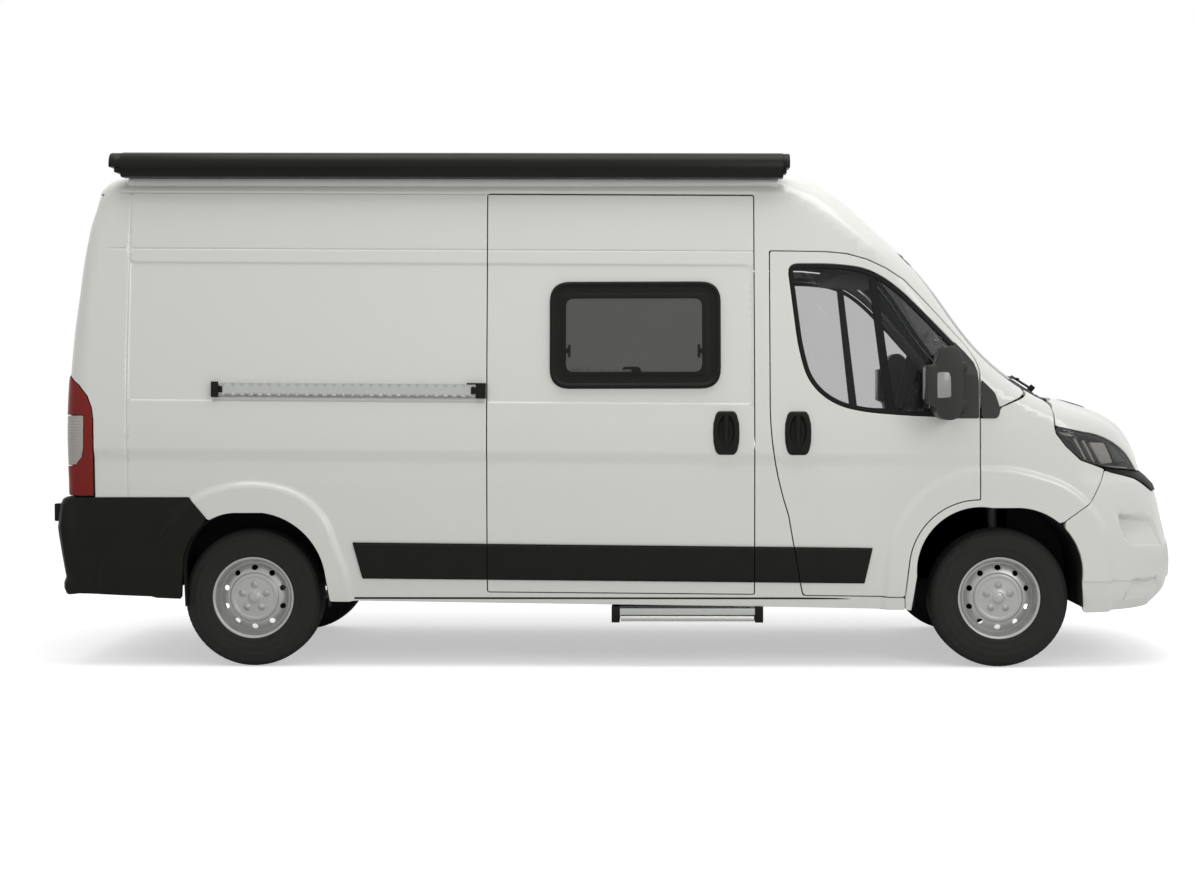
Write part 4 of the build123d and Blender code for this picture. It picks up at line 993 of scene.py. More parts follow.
def add_prism(bm, outline, low, high, axis="y", edge=0.003, segments=2):
    """Adds a straight solid with softened edges; the outline is in the two other axes, in order."""
    place = {"x": lambda a, b, t: (t, a, b), "y": lambda a, b, t: (a, t, b)}[axis]
    fresh = bmesh.new()
    face = fresh.faces.new([fresh.verts.new(place(a, b, low)) for a, b in outline])
    grown = bmesh.ops.extrude_face_region(fresh, geom=[face])
    moved = [v for v in grown["geom"] if isinstance(v, bmesh.types.BMVert)]
    bmesh.ops.translate(fresh, vec=place(0, 0, high - low), verts=moved)
    bmesh.ops.recalc_face_normals(fresh, faces=fresh.faces)
    if edge:
        sharp = [e for e in fresh.edges if len(e.link_faces) == 2 and e.calc_face_angle() > radians(28)]
        bmesh.ops.bevel(fresh, geom=sharp, offset=edge, segments=segments, profile=0.5, affect="EDGES",
                        clamp_overlap=True)
    spare = bpy.data.meshes.new("spare")
    fresh.to_mesh(spare)
    fresh.free()
    bm.from_mesh(spare)
    bpy.data.meshes.remove(spare)


def prism(name, outline, low, high, mat, *, axis="y", edge=0.003, segments=2, **more):
    bm = bmesh.new()
    add_prism(bm, outline, low, high, axis, edge, segments)
    return solid(name, bm, mat, **more)


def box_outline(a0, a1, b0, b1):
    return [(a0, b0), (a1, b0), (a1, b1), (a0, b1)]


def add_box(bm, low, high, edge=0.003):
    add_prism(bm, box_outline(low[0], high[0], low[2], high[2]), low[1], high[1], "y", edge)


def band(side, near, far):
    """The two y values, in order, between two distances off the middle on one side."""
    return sorted((side * near, side * far))


def add_rod(bm, start, end, thick, sides=12):
    """A round rod between two points."""
    start, end = Vector(start), Vector(end)
    turn = (end - start).to_track_quat("Z", "Y").to_matrix().to_4x4()
    bmesh.ops.create_cone(bm, cap_ends=True, segments=sides, radius1=thick, radius2=thick,
                          depth=(end - start).length, matrix=Matrix.Translation((start + end) / 2) @ turn)


def lathe(name, profile, centre, side, mat, *, count=120, height=None, body="body", angle=40):
    """A closed profile of (radius, distance out) turned about an axle; height adds to the radius."""
    r, out = np.array(profile, float).T
    turn = np.arange(count)[:, None] * 2 * pi / count
    radius = r[None, :] + (height(out[None, :], turn, r[None, :]) if height else 0 * turn)
    y = np.broadcast_to(side * (centre[1] + out), radius.shape)
    verts = np.stack([centre[0] + radius * np.cos(turn), y, centre[2] + radius * np.sin(turn)],
                     -1).reshape(-1, 3)
    i, k = np.meshgrid(np.arange(count), np.arange(len(r)), indexing="ij")
    j, m = (i + 1) % count * len(r), (k + 1) % len(r)
    i = i * len(r)
    faces = np.stack([i + k, i + m, j + m, j + k][::side], -1).reshape(-1, 4)
    made = mesh_object(name, verts, faces.tolist(), mat, body=body)
    made.data.set_sharp_from_angle(angle=radians(angle))
    return made


# ---------------------------------------------------------------- wheels and tyres
AXLE_X, HUB_Y, HUB_Z = {"front": 2.039, "rear": -1.996}, 0.863, 0.374
DISC = np.array([  # the disc's section: radius, distance out of the hub's plane
    (0.0, 0.078), (0.026, 0.077), (0.032, 0.071), (0.050, 0.066), (0.095, 0.0625), (0.108, 0.062),
    (0.112, 0.066), (0.127, 0.064), (0.131, 0.060), (0.134, 0.056), (0.150, 0.052), (0.176, 0.036),
    (0.186, 0.030), (0.194, 0.030),
])
RADII = np.linspace(0, 0.21, 421)
EVEN = np.ones(11) / 11
HEIGHTS = np.convolve(np.pad(np.interp(RADII, *DISC.T), 5, mode="edge"), EVEN, "valid")
TREAD_FROM, SHOULDER_FROM = 0.3695, 0.350
LUG_RINGS = ((0.004, 6), (0.0078, 12), (0.0097, 14), (0.014, 16), (0.0175, 20), (0.0193, 24), (0.021, 24))
DISC_RINGS = ((0.012, 10), (0.026, 24), (0.030, 28), (0.036, 32), (0.092, 72), (0.105, 90), (0.1095, 90),
              (0.114, 90), (0.122, 90), (0.128, 96), (0.1325, 96), (0.137, 96), (0.150, 96), (0.170, 96),
              (0.179, 110), (0.186, 110))


def circle(x, z, radius, count, start=0.0):
    return [(x + radius * cos(t), z + radius * sin(t)) for t in start + np.arange(count) * 2 * pi / count]


def tread(out, turn, r):
    """Grooves round the tread, sipes across its ribs and blocks on its shoulders."""
    grooves = sum(smooth((0.0055 - np.abs(np.abs(out) - at)) / 0.0012) for at in (0.017, 0.047)) * 0.008
    phase = (turn * 72 / (2 * pi) + 2.0 * out / 0.1) % 1.0
    sipe = (phase < 0.21) * (np.abs(out) > 0.056) * 0.006 + (phase < 0.19) * (np.abs(out) < 0.042) * 0.003
    shoulder = (r > SHOULDER_FROM) & (r <= TREAD_FROM)
    blocks = np.where(shoulder, (phase < 0.21) * 0.004, 0)
    return -np.where(r > TREAD_FROM, np.maximum(grooves, sipe), 0) - blocks


SIDE_WALL = [
    (0.208, 0.086), (0.216, 0.0925), (0.226, 0.0985), (0.232, 0.1035), (0.238, 0.1045), (0.241, 0.1035),
    (0.255, 0.1075), (0.268, 0.1098), (0.270, 0.1108), (0.273, 0.1110), (0.275, 0.1104), (0.292, 0.1117),
    (0.306, 0.1115), (0.308, 0.1120), (0.311, 0.1118), (0.313, 0.1108), (0.328, 0.1085), (0.342, 0.1040),
    (0.345, 0.1040), (0.347, 0.1022), (0.356, 0.0975), (0.362, 0.0930), (0.3665, 0.0880), (0.3695, 0.0820),
]
CROWN = [(0.3740 - 0.0042 * (abs(o) / 0.080) ** 4, o) for o in (
    0.078, 0.070, 0.062, 0.0565, 0.0555, 0.0530, 0.0518, 0.0440, 0.0425, 0.0415, 0.0395, 0.030, 0.0230,
    0.0222, 0.0205, 0.0135, 0.0118, 0.0110, 0.005)]
HALF_TYRE = SIDE_WALL + CROWN
TYRE_PROFILE = HALF_TYRE + [(r, -o) for r, o in HALF_TYRE[::-1]] + [(0.212, -0.060), (0.212, 0.060)]
RIM_PROFILE = [
    (0.228, 0.0895), (0.2275, 0.0930), (0.2245, 0.0950), (0.216, 0.0955), (0.209, 0.0920), (0.2055, 0.0860),
    (0.2030, 0.0740), (0.1985, 0.0560), (0.1945, 0.0380), (0.1915, 0.0260), (0.1895, 0.0000),
    (0.1900, -0.0600), (0.2040, -0.0780), (0.2080, -0.0920), (0.2240, -0.0940), (0.2230, -0.0880),
    (0.2115, -0.0840), (0.2085, -0.0700), (0.1960, -0.0540), (0.1960, 0.0200), (0.2080, 0.0560),
    (0.2120, 0.0850),
]
DRUM_PROFILE = [(0.009, 0.015), (0.090, 0.015), (0.096, 0.021), (0.138, 0.021), (0.138, -0.070),
                (0.009, -0.070)]


def make_wheels(axle, x_axle):
    """Both wheels of an axle: a disc with ten holes and five studs, its rim, the brake drum and the tyre."""
    studs = circle(x_axle, HUB_Z, 0.067, 5, pi / 2)

    def disc_base(s, z):
        out = np.interp(np.hypot(s - x_axle, z - HUB_Z), RADII, HEIGHTS)
        return np.stack([s, -(HUB_Y + out), z + 0 * s], -1)

    def stud_bumps(s, z):
        near = np.min([np.hypot(s - x, z - h) for x, h in studs], axis=0)
        dome = np.sqrt(np.clip(1 - (near / 0.0195) ** 2, 0, 1))
        return 0.0085 * dome + 0.004 * smooth((0.0095 - near) / 0.002)

    rings = [np.array(circle(x_axle, HUB_Z, r, n)) for r, n in DISC_RINGS]
    rings += [np.array(circle(x, z, r, n)) for x, z in studs for r, n in LUG_RINGS]
    holes = circle(0, 0, 0.162, 10, pi / 2)
    openings = [[(x_axle + x * (1.10 if i in (0, 5) else 1), HUB_Z + z) for x, z in circle(*hole, 0.0155, 20)]
                for i, hole in enumerate(holes)]
    centre = (x_axle, HUB_Y, HUB_Z)
    for name, side in SIDES.items():
        body = f"wheel_{axle}_{name}"
        disc = panel(f"wheel_disc_{axle}_{name}", circle(x_axle, HUB_Z, 0.1925, 120), STEEL, holes=openings,
                     sides=(side,), gap=0.0, lip=0.002, drop=0.0012, deep=0.005, step=0.014, radius=0.0,
                     relief=stud_bumps, guides=rings, body=body, base=disc_base, smallest=0.008)
        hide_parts(body)
        lathe(f"wheel_rim_{axle}_{name}", RIM_PROFILE, centre, side, STEEL, body=body)
        lathe(f"brake_drum_{axle}_{name}", DRUM_PROFILE, centre, side, CAST, count=72, body=body)
        tyre = lathe(f"tyre_tread_{axle}_{name}", TYRE_PROFILE, centre, side, TYRE, count=360, height=tread,
                     body=body, angle=35)
        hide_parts(f"tyre_{axle}_{name}")


for axle, x_axle in AXLE_X.items():
    make_wheels(axle, x_axle)

# ---------------------------------------------------------------- black mouldings
MOULDING = counter_clockwise([(-1.447, 0.681), (1.356, 0.652), (1.313, 0.456), (-1.394, 0.481)])
MOULDING_GUIDES = [grow(refine(MOULDING, 0.02), by) for by in (-0.006, -0.012, -0.018, -0.024)]


def moulding_lines(s, z):
    return body_lines(s, z) + 0.006 + 0.008 * smooth(depth_inside(s, z, MOULDING) / 0.018)


def moulding(label, low, high, sides, body="body"):
    """One length of the moulding between two pairs of x places (top, foot)."""
    tops = [(x, 0.681 - (x + 1.447) * 0.029 / 2.803) for x in (low[0], high[0])]
    feet = [(x, 0.481 - (x + 1.394) * 0.025 / 2.707) for x in (high[1], low[1])]
    return panel(label, tops + feet, PLASTIC, sides=sides, gap=0.002, relief=moulding_lines, deep=-0.001,
                 radius=0.006, step=0.03, guides=MOULDING_GUIDES, body=body)


REAR_END, SLIDE_REAR, SLIDE_FRONT = (-1.447, -1.394), (-0.718, -0.718), (0.722, 0.722)
DOOR_REAR, FRONT_END = (0.933, 0.9675), (1.356, 1.313)
rear_moulding = moulding("moulding_rear_right", REAR_END, SLIDE_REAR, (-1,))
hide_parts("side_mouldings")
moulding("moulding_sliding_door", SLIDE_REAR, SLIDE_FRONT, (-1,))
moulding("moulding_pillar", SLIDE_FRONT, DOOR_REAR, (-1,))
moulding("moulding_rear_left", REAR_END, DOOR_REAR, (1,))
for name, side in SIDES.items():
    door_moulding = moulding(f"moulding_door_{name}", DOOR_REAR, FRONT_END, (side,), f"door_{name}")
    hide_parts(f"cab_door_moulding_{name}")

# ---------------------------------------------------------------- rear corner cladding and buffers
CLAD_GROOVE = [(-2.334, 0.915), (-2.404, 0.818), (-2.445, 0.729), (-2.462, 0.710), (-2.486, 0.704),
               (-2.660, 0.707)]
CLAD_SEAM = -2.841
CLAD_HEIGHTS = (0.404, 0.448, 0.492, 0.757, 0.890, 0.912, 0.925)
CLAD_BULGE = (0.036, 0.048, 0.028, 0.062, 0.046, 0.034, 0.014)


def near_line(s, z, points):
    """Distance from an open line."""
    best = np.full(np.shape(s), 9.0)
    for (x0, z0), (x1, z1) in zip(points, points[1:]):
        dx, dz = x1 - x0, z1 - z0
        t = np.clip(((s - x0) * dx + (z - z0) * dz) / (dx * dx + dz * dz), 0, 1)
        best = np.minimum(best, np.hypot(s - x0 - t * dx, z - z0 - t * dz))
    return best


def cladding_lines(s, z):
    bulge = np.interp(z, CLAD_HEIGHTS, CLAD_BULGE) * smooth((-2.93 - s) / 0.05)
    groove = 0.0025 * ridge_at(near_line(s, z, CLAD_GROOVE), 0.004)
    return body_lines(s, z) + 0.007 + bulge - groove - 0.004 * ridge_at(s - CLAD_SEAM, 0.003)


def cladding_outline():
    edge = tail_at(DOOR_EDGE_Y + 0.003)
    line = [(-2.232, 0.812), (-2.328, 0.925), (-2.842, 0.925)]
    line += [(float(s), 0.925) for s in np.linspace(-2.90, float(edge(0.925)), 6)] + run(edge, 0.90, 0.56, 14)
    line += across(0.553, DOOR_EDGE_Y, 0.0, place=tail_by_y) + run(tail_middle, 0.54, 0.42, 5)
    line += across(0.404, 0.0, 0.93, place=tail_by_y) + [(-2.90, 0.398), (-2.70, 0.388), (-2.377, 0.375)]
    return line + [p for p in REAR_ARCH if p[0] <= -2.24 and p[1] > 0.385]


groove_line = refine(np.array(CLAD_GROOVE + CLAD_GROOVE[-2:0:-1]), 0.012)
clad_guides = [np.array([(x + by, z) for x, z in groove_line for by in (-0.004, 0, 0.004)])]
clad_guides += columns_at(((CLAD_SEAM, 1),), 0.39, 0.92, (-0.006, -0.003, 0, 0.003, 0.006), 0.03)
cladding = panel("rear_cladding", cladding_outline(), PLASTIC, sides=BOTH, centre=(tail_middle,), gap=0.001,
                 relief=cladding_lines, guides=clad_guides, step=0.03, radius=0.006)
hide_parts("rear_bumper")
bm = bmesh.new()
for side in BOTH:
    add_prism(bm, box_outline(-3.082, -3.020, 0.790, 0.886), *band(side, 0.900, 0.955), edge=0.006)
solid("rear_buffers", bm, PLASTIC)

# ---------------------------------------------------------------- tail lamps
TAIL_LAMP = [(-2.844, 0.930), *LAMP_SIDE, (-3.044, 1.590)]
TAIL_LAMP += run(tail_at(DOOR_EDGE_Y + 0.002), 1.596, 0.93, 20)
SEGMENT = [(-2.901, 1.366), (-2.900, 1.190), (-2.908, 1.142), (-2.940, 1.100)]
SEGMENT += run(tail_at(DOOR_EDGE_Y + 0.012), 1.090, 1.366, 10)
TAIL_EDGE = counter_clockwise(TAIL_LAMP)
tail_lamps = panel("tail_lamp_lenses", TAIL_LAMP, RED, holes=[SEGMENT], sides=BOTH, step=0.02, radius=0.004,
                   relief=lambda s, z: 0.004 + 0.004 * smooth(depth_inside(s, z, TAIL_EDGE) / 0.02))
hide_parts("tail_lamps")
panel("tail_lamp_segments", SEGMENT, SMOKED, sides=BOTH, gap=0.001, lift=0.002, step=0.008, radius=0.004,
      relief=lambda s, z: 0.004 + 0.001 * np.sin(z * 400), slot="red_lens")
panel("tail_lamp_seats", grow(TAIL_EDGE, 0.004), RUBBER, sides=BOTH, gap=0.0, lift=-0.012, deep=0.012,
      step=0.05)


# ---------------------------------------------------------------- rear doors
def tail_outline(points):
    """(s, z) of (y, z) points on the tail."""
    return [(float(tail_by_y(y, z)), z) for y, z in points]


LEAF = box_outline(0.0005, 0.838, 0.557, DOOR_HEAD - 0.0005)
REAR_WINDOW = rounded(box_outline(0.092, 0.693, 1.477, 2.113), 0.07)
PRESSING = rounded(box_outline(0.10, 0.66, 0.74, 1.36), 0.06)
PLATE = rounded(box_outline(0.115, 0.645, 0.93, 1.08), 0.02)


def spaced(points, step=0.05):
    """A closed outline with points along its edges."""
    made = []
    for a, b in zip(np.array(points), np.roll(points, -1, 0)):
        count = max(1, int(np.linalg.norm(b - a) / step))
        made += [tuple(a + (b - a) * k / count) for k in range(count)]
    return made


def leaf_lines(s, z):
    y = skin(s, z)[1]
    sunk = 0.009 * smooth(depth_inside(y, z, PRESSING) / 0.022)
    return 0.004 * smooth(depth_inside(y, z, REAR_WINDOW) / 0.02 + 1.4) - sunk


leaf_guides = [np.array(tail_outline(grow(refine(PRESSING, 0.03), by)))
               for by in (0.004, -0.004, -0.012, -0.022)]
for name, side in SIDES.items():
    body = f"tailgate_{name}"
    leaf = panel(f"rear_door_skin_{name}", tail_outline(spaced(LEAF)), PAINT,
                 holes=[tail_outline(REAR_WINDOW)], sides=(side,), relief=leaf_lines, guides=leaf_guides,
                 deep=0.05, radius=0.02, body=body)
    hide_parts(f"rear_door_{name}")
    panel(f"rear_window_seal_{name}", tail_outline(REAR_WINDOW), RUBBER,
          holes=[tail_outline(grow(REAR_WINDOW, -0.022))], sides=(side,), gap=0.0, lift=0.004, deep=0.03,
          radius=0.0, step=0.05, body=body)
    glass = panel(f"rear_glass_{name}", tail_outline(grow(REAR_WINDOW, -0.018)), PANE, sides=(side,), gap=0.0,
                  lift=-0.003, deep=0.010, radius=0.0, step=0.06, body=body)
    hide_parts(f"rear_door_glass_{name}")
handle = tail_outline(soften(box_outline(0.035, 0.075, 1.06, 1.26), 0.018))
panel("rear_door_handle", handle, PLASTIC, gap=0.0, lift=0.022, deep=0.03, radius=0.0, lip=0.006, drop=0.006,
      step=0.012, body="tailgate_right")
for label, outline, mat, lift, deep in (("plate_recess", PLATE, PLASTIC, -0.006, 0.02),
                                        ("blank_plate", grow(PLATE, -0.012), TRIM, -0.001, 0.006)):
    panel(label, tail_outline(outline), mat, sides=(1,), gap=0.0, lift=lift, deep=deep, radius=0.0, step=0.05,
          body="tailgate_left")

# ---------------------------------------------------------------- side window
FRAME_EDGE = rounded(WINDOW_OUTER, 0.11, 9)
PANE_EDGE = rounded(box_outline(-0.291, 0.442, 1.595, 1.991), 0.045, 7)


def frame_lines(s, z):
    depth = depth_inside(s, z, FRAME_EDGE)
    ridge = 0.015 * smooth(depth / 0.010) + 0.003 * ridge_at(depth - 0.014, 0.004)
    return 0.004 + ridge - 0.007 * smooth((depth - 0.020) / 0.012) + 0.004 * smooth((depth - 0.06) / 0.02)


frame_guides = [grow(refine(FRAME_EDGE, 0.02), -by)
                for by in (0.006, 0.010, 0.014, 0.018, 0.022, 0.027, 0.032, 0.06, 0.07, 0.08)]
window_frame = panel("side_window_surround", FRAME_EDGE, PLASTIC, holes=[PANE_EDGE], gap=0.0,
                     relief=frame_lines, radius=0.0, guides=frame_guides, deep=0.012, step=0.03)
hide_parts("side_window_frame")
pane = panel("side_window_acrylic", grow(PANE_EDGE, 0.006), PANE, gap=0.0, lift=0.010, radius=0.0, step=0.04,
             relief=lambda s, z: 0.003 * smooth(depth_inside(s, z, PANE_EDGE) / 0.02))
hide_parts("side_window_pane")
for label, outline in (
    ("left", [(-0.297, 1.722), (-0.278, 1.720), (-0.278, 1.741), (-0.267, 1.741), (-0.267, 1.674),
              (-0.278, 1.674), (-0.278, 1.696), (-0.297, 1.698)]),
    ("right", [(0.447, 1.720), (0.430, 1.718), (0.430, 1.741), (0.418, 1.741), (0.418, 1.672), (0.430, 1.672),
               (0.430, 1.694), (0.447, 1.694)]),
    ("foot", [(0.012, 1.609), (0.020, 1.620), (0.090, 1.622), (0.106, 1.617), (0.117, 1.592), (0.064, 1.592),
              (0.062, 1.609)]),
):
    panel(f"window_catch_{label}", outline, RUBBER, gap=0.0, lift=0.018, deep=0.010, radius=0.003, lip=0.001,
          drop=0.001, step=0.02, smallest=0.01)

# ---------------------------------------------------------------- slide rail
RAIL_TOP, RAIL_FOOT = 1.5245, 1.4485  # heights above the body lines' slope
RAIL_HIGH = RAIL_TOP - RAIL_FOOT
RAIL_SHARES = (0, 0.03, 0.22, 0.26, 0.74, 0.78, 0.84, 0.88, 1.0)
RAIL_LIFTS = (0.014, 0.020, 0.020, 0.009, 0.009, 0.012, 0.016, 0.018, 0.018)


def rail_section(s, z):
    return np.interp((z + RAKE * s - RAIL_FOOT) / RAIL_HIGH, RAIL_SHARES, RAIL_LIFTS)


def rail_part(label, low, high, mat, foot=RAIL_FOOT, top=RAIL_TOP, **more):
    corners = ((low, foot), (high, foot), (high, top), (low, top))
    return panel(label, [(x, z - RAKE * x) for x, z in corners], mat, gap=0.0, radius=0.001, lip=0.001,
                 drop=0.0006, **more)


rail = rail_part("slide_rail_profile", -2.19, -0.722, ALLOY, deep=0.0, relief=rail_section, step=0.05,
                 rows=[RAIL_FOOT + RAIL_HIGH * t
                       for t in (0.03, 0.2, 0.22, 0.24, 0.26, 0.28, 0.72, 0.74, 0.78, 0.84, 0.88, 0.94)])
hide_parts("slide_rail")
for label, low, high, foot, top, lift, deep in (
    ("cap", -2.206, -2.168, RAIL_FOOT - 0.003, RAIL_TOP + 0.003, 0.024, 0.024),
    ("plug", -2.170, -2.147, RAIL_FOOT + 0.022, RAIL_TOP - 0.020, 0.016, 0.016),
    ("bracket", -0.776, -0.722, RAIL_FOOT - 0.002, RAIL_TOP + 0.004, 0.024, 0.024),
    ("tongue", -0.824, -0.774, RAIL_TOP - 0.004, RAIL_TOP + 0.004, 0.023, 0.02),
    ("carriage", -0.802, -0.774, RAIL_FOOT + 0.022, RAIL_TOP - 0.018, 0.018, 0.016),
):
    rail_part(f"slide_rail_{label}", low, high, PLASTIC, foot, top, lift=lift, deep=deep, step=0.02,
              slot=None)

# ---------------------------------------------------------------- awning
TILT = 0.34 * pi / 180
CASSETTE = trace([
    (-0.852, 2.656), (-0.852, 2.767), ((-0.856, 2.777), (-0.866, 2.781)), (-0.900, 2.779), (-0.930, 2.774),
    ((-0.962, 2.760), (-0.981, 2.733)), ((-0.9855, 2.700), (-0.972, 2.656)), (-0.962, 2.643), (-0.948, 2.640),
    (-0.905, 2.640), (-0.900, 2.648), (-0.890, 2.648), (-0.885, 2.642), (-0.870, 2.642),
])


def awning_part(label, outline, x0, x1, mat=ANTHRACITE, edge=0.002):
    """A length of the cassette: its section is in (y, z) and it rises a little to the rear."""
    bm = bmesh.new()
    add_prism(bm, outline, x0, x1, "x", edge)
    for v in bm.verts:
        v.co = (v.co.x * cos(TILT) + v.co.z * sin(TILT), v.co.y, v.co.z * cos(TILT) - v.co.x * sin(TILT))
    return solid(label, bm, mat, angle=25)


cassette = awning_part("awning_cassette", CASSETTE, -2.718, 0.862)
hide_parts("awning")
cap = [(y * 0.985 - 0.0135, max(2.640 + (z - 2.640) * 0.965 + 0.002, 2.692)) for y, z in CASSETTE]
cap = [p for i, p in enumerate(cap) if i == 0 or np.hypot(p[0] - cap[i - 1][0], p[1] - cap[i - 1][1]) > 1e-4]
cap_foot = box_outline(-0.972, -0.860, 2.664, 2.6935)
awning_part("awning_cap_rear", cap, -2.779, -2.7185, edge=0.012)
awning_part("awning_cap_front", cap, 0.8625, 0.897, edge=0.012)
awning_part("awning_foot_rear", cap_foot, -2.752, -2.7185, edge=0.004)
awning_part("awning_foot_front", cap_foot, 0.8625, 0.880, edge=0.004)
mount = [(-0.868, 2.600), (-0.868, 2.6415), (-0.851, 2.6415), (-0.851, 2.690), (-0.700, 2.690),
         (-0.780, 2.640)]
awning_part("awning_mount", mount, -2.700, 0.840, PAINT, 0.004)

# ---------------------------------------------------------------- handles
BARREL = [(-0.0450, -0.121), (-0.0625, -0.098), (-0.0725, -0.050), (-0.0745, 0.0), (-0.0725, 0.050),
          (-0.0600, 0.100), (-0.0450, 0.119)]
BARREL = BARREL + [(-x, z) for x, z in BARREL[::-1]]


def door_handle(label, x_mid, z_mid, side, body):
    """A barrel-shaped plate with a sunk bowl and the pull bar across it."""
    outline = [(x_mid + x, z_mid + z) for x, z in BARREL]
    edge = rounded(outline, 0.03)

    def lines(s, z):
        depth = depth_inside(s, z, edge)
        x, h = s - x_mid, z - z_mid
        bowl = smooth((1 - (x / 0.046) ** 2 - ((h - 0.010) / 0.088) ** 2) / 0.35)
        bar = smooth((0.014 - np.abs(x)) / 0.004) * smooth((0.095 + h) / 0.02)
        lip = 0.5 * bowl * smooth((-0.02 - h) / 0.04)
        rim = 0.020 * smooth(depth / 0.014)
        return rim - 0.015 * bowl * (1 - bar) * (1 - lip) + 0.006 * bar * smooth(depth / 0.02)

    return panel(label, outline, PLASTIC, sides=(side,), gap=0.0, lift=0.003, relief=lines, radius=0.03,
                 deep=0.004, step=0.005, smallest=0.008, body=body)


pull = door_handle("sliding_door_pull", 0.5695, 1.268, -1, "body")
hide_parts("sliding_door_handle")
for name, side in SIDES.items():
    pull = door_handle(f"cab_door_pull_{name}", 0.9535, 1.266, side, f"door_{name}")
    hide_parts(f"cab_door_handle_{name}")

# ---------------------------------------------------------------- door mirrors
HOUSING = [(1.612, 1.428), (1.654, 1.416), (1.660, 1.375), (1.690, 1.342), (1.745, 1.336), (1.782, 1.356),
           (1.797, 1.406), (1.800, 1.520), (1.798, 1.631), (1.786, 1.700), (1.743, 1.729), (1.702, 1.722),
           (1.677, 1.693), (1.660, 1.622), (1.612, 1.632)]
REPEATER_EDGE = [(1.663, 1.588), (1.724, 1.590), (1.734, 1.562), (1.736, 1.458), (1.664, 1.452)]
for name, side in SIDES.items():
    body = f"door_{name}"
    shell = prism(f"mirror_housing_{name}", soften(HOUSING, 0.02), *band(side, 1.064, 1.253), MIRROR,
                  edge=0.022, segments=4, body=body)
    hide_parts(f"mirror_{name}")
    prism(f"mirror_glass_{name}", box_outline(1.6100, 1.618, 1.444, 1.616), *band(side, 1.085, 1.232), PANE,
          body=body, slot=None)
    prism(f"mirror_repeater_{name}", soften(REPEATER_EDGE, 0.012), *band(side, 1.246, 1.2555), REPEATER,
          edge=0.002, body=body)
    bm = bmesh.new()
    for z0, z1 in ((1.590, 1.650), (1.380, 1.452)):
        arm = soften([(1.755, z0), (1.850, z0), (1.850, z1 - 0.008), (1.765, z1)], 0.02)
        add_prism(bm, arm, *band(side, 0.985, 1.080), "y", 0.010, 3)
    solid(f"mirror_arms_{name}", bm, MIRROR, body=body)


# ---------------------------------------------------------------- wipers
def screen_point(y, z, off):
    """A point off the windscreen's face."""
    s = np.array([float(nose_by_y(abs(y), z))])
    x, y_skin, height = lifted(body_skin, s, np.array([z]), np.array([off]))[0][0]
    return Vector((x, -y_skin if y > 0 else y_skin, height))


WIPERS = (  # (y, z) of the pivot and of the blade's two ends
    ((-0.46, 1.492), (0.10, 1.560), (-0.42, 1.540)),
    ((0.28, 1.490), (0.70, 1.548), (0.22, 1.575)),
)
bm = bmesh.new()
for pivot, tip, heel in WIPERS:
    pivot, tip, heel = screen_point(*pivot, 0.012), screen_point(*tip, 0.020), screen_point(*heel, 0.020)
    add_rod(bm, pivot, (tip + heel) / 2 + Vector((0.006, 0, 0.006)), 0.007)
    add_rod(bm, heel, tip, 0.006)
    add_rod(bm, pivot - Vector((0.01, 0, 0.012)), pivot + Vector((0.012, 0, 0.014)), 0.016, 18)
solid("wipers", bm, PLASTIC)

# ---------------------------------------------------------------- side step
bm = bmesh.new()
for x0, x1 in ((-0.048, -0.004), (0.726, 0.770)):
    add_box(bm, (x0, -0.985, 0.243), (x1, -0.63, 0.330))
    add_rod(bm, ((x0 + x1) / 2, -0.980, 0.262), ((x0 + x1) / 2, -0.992, 0.262), 0.008)
add_box(bm, (-0.006, -0.66, 0.318), (0.728, -0.64, 0.330), 0.001)
solid("step_brackets", bm, PLASTIC)
bm = bmesh.new()
add_box(bm, (-0.003, -0.984, 0.318), (0.725, -0.64, 0.3285), 0.002)
add_box(bm, (-0.003, -0.984, 0.284), (0.725, -0.976, 0.3285), 0.002)
for x in (0.03, 0.69):
    add_box(bm, (x - 0.03, -0.68, 0.325), (x + 0.03, -0.62, 0.505))
housing = solid("step_cover", bm, ALLOY)
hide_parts("step_housing")
board = [(-0.999, 0.262), (-0.998, 0.270), (-0.990, 0.2795), (-0.974, 0.280), (-0.700, 0.280),
         (-0.700, 0.272), (-0.960, 0.270), (-0.970, 0.262), (-0.970, 0.252), (-0.985, 0.2505),
         (-0.995, 0.254)]
tread_board = prism("step_board", board, 0.002, 0.720, ALLOY, axis="x", edge=0.0015, body="step")
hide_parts("step_tread")


# ---------------------------------------------------------------- wheel arch liners
def arch_sheet(arch, middle, low=0.33, thick=0.004):
    """A closed outline for a thin sheet along an arch down to a height, its thickness away from the wheel."""
    ends = []
    for foot, knee in ((arch[0], arch[1]), (arch[-1], arch[-2])):
        share = (low - foot[1]) / (knee[1] - foot[1])
        ends.append((foot[0] + share * (knee[0] - foot[0]), low))
    near = np.array([ends[0], *arch[1:-1], ends[1]])
    return [*near, *(near + unit(near - (middle, 0.40)) * thick)[::-1]]


bm = bmesh.new()
for side in BOTH:
    front, rear = arch_sheet(FRONT_ARCH, 2.022), arch_sheet(REAR_ARCH, -1.959)
    add_prism(bm, front, *band(side, 0.530, 1.006), "y", 0.0)
    add_prism(bm, rear, *band(side, 0.930, 1.006), "y", 0.0)
    add_prism(bm, front[: len(front) // 2], *band(side, 0.526, 0.530), "y", 0.0)
liners = solid("arch_liners", bm, DARK)
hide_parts("cab_frame")

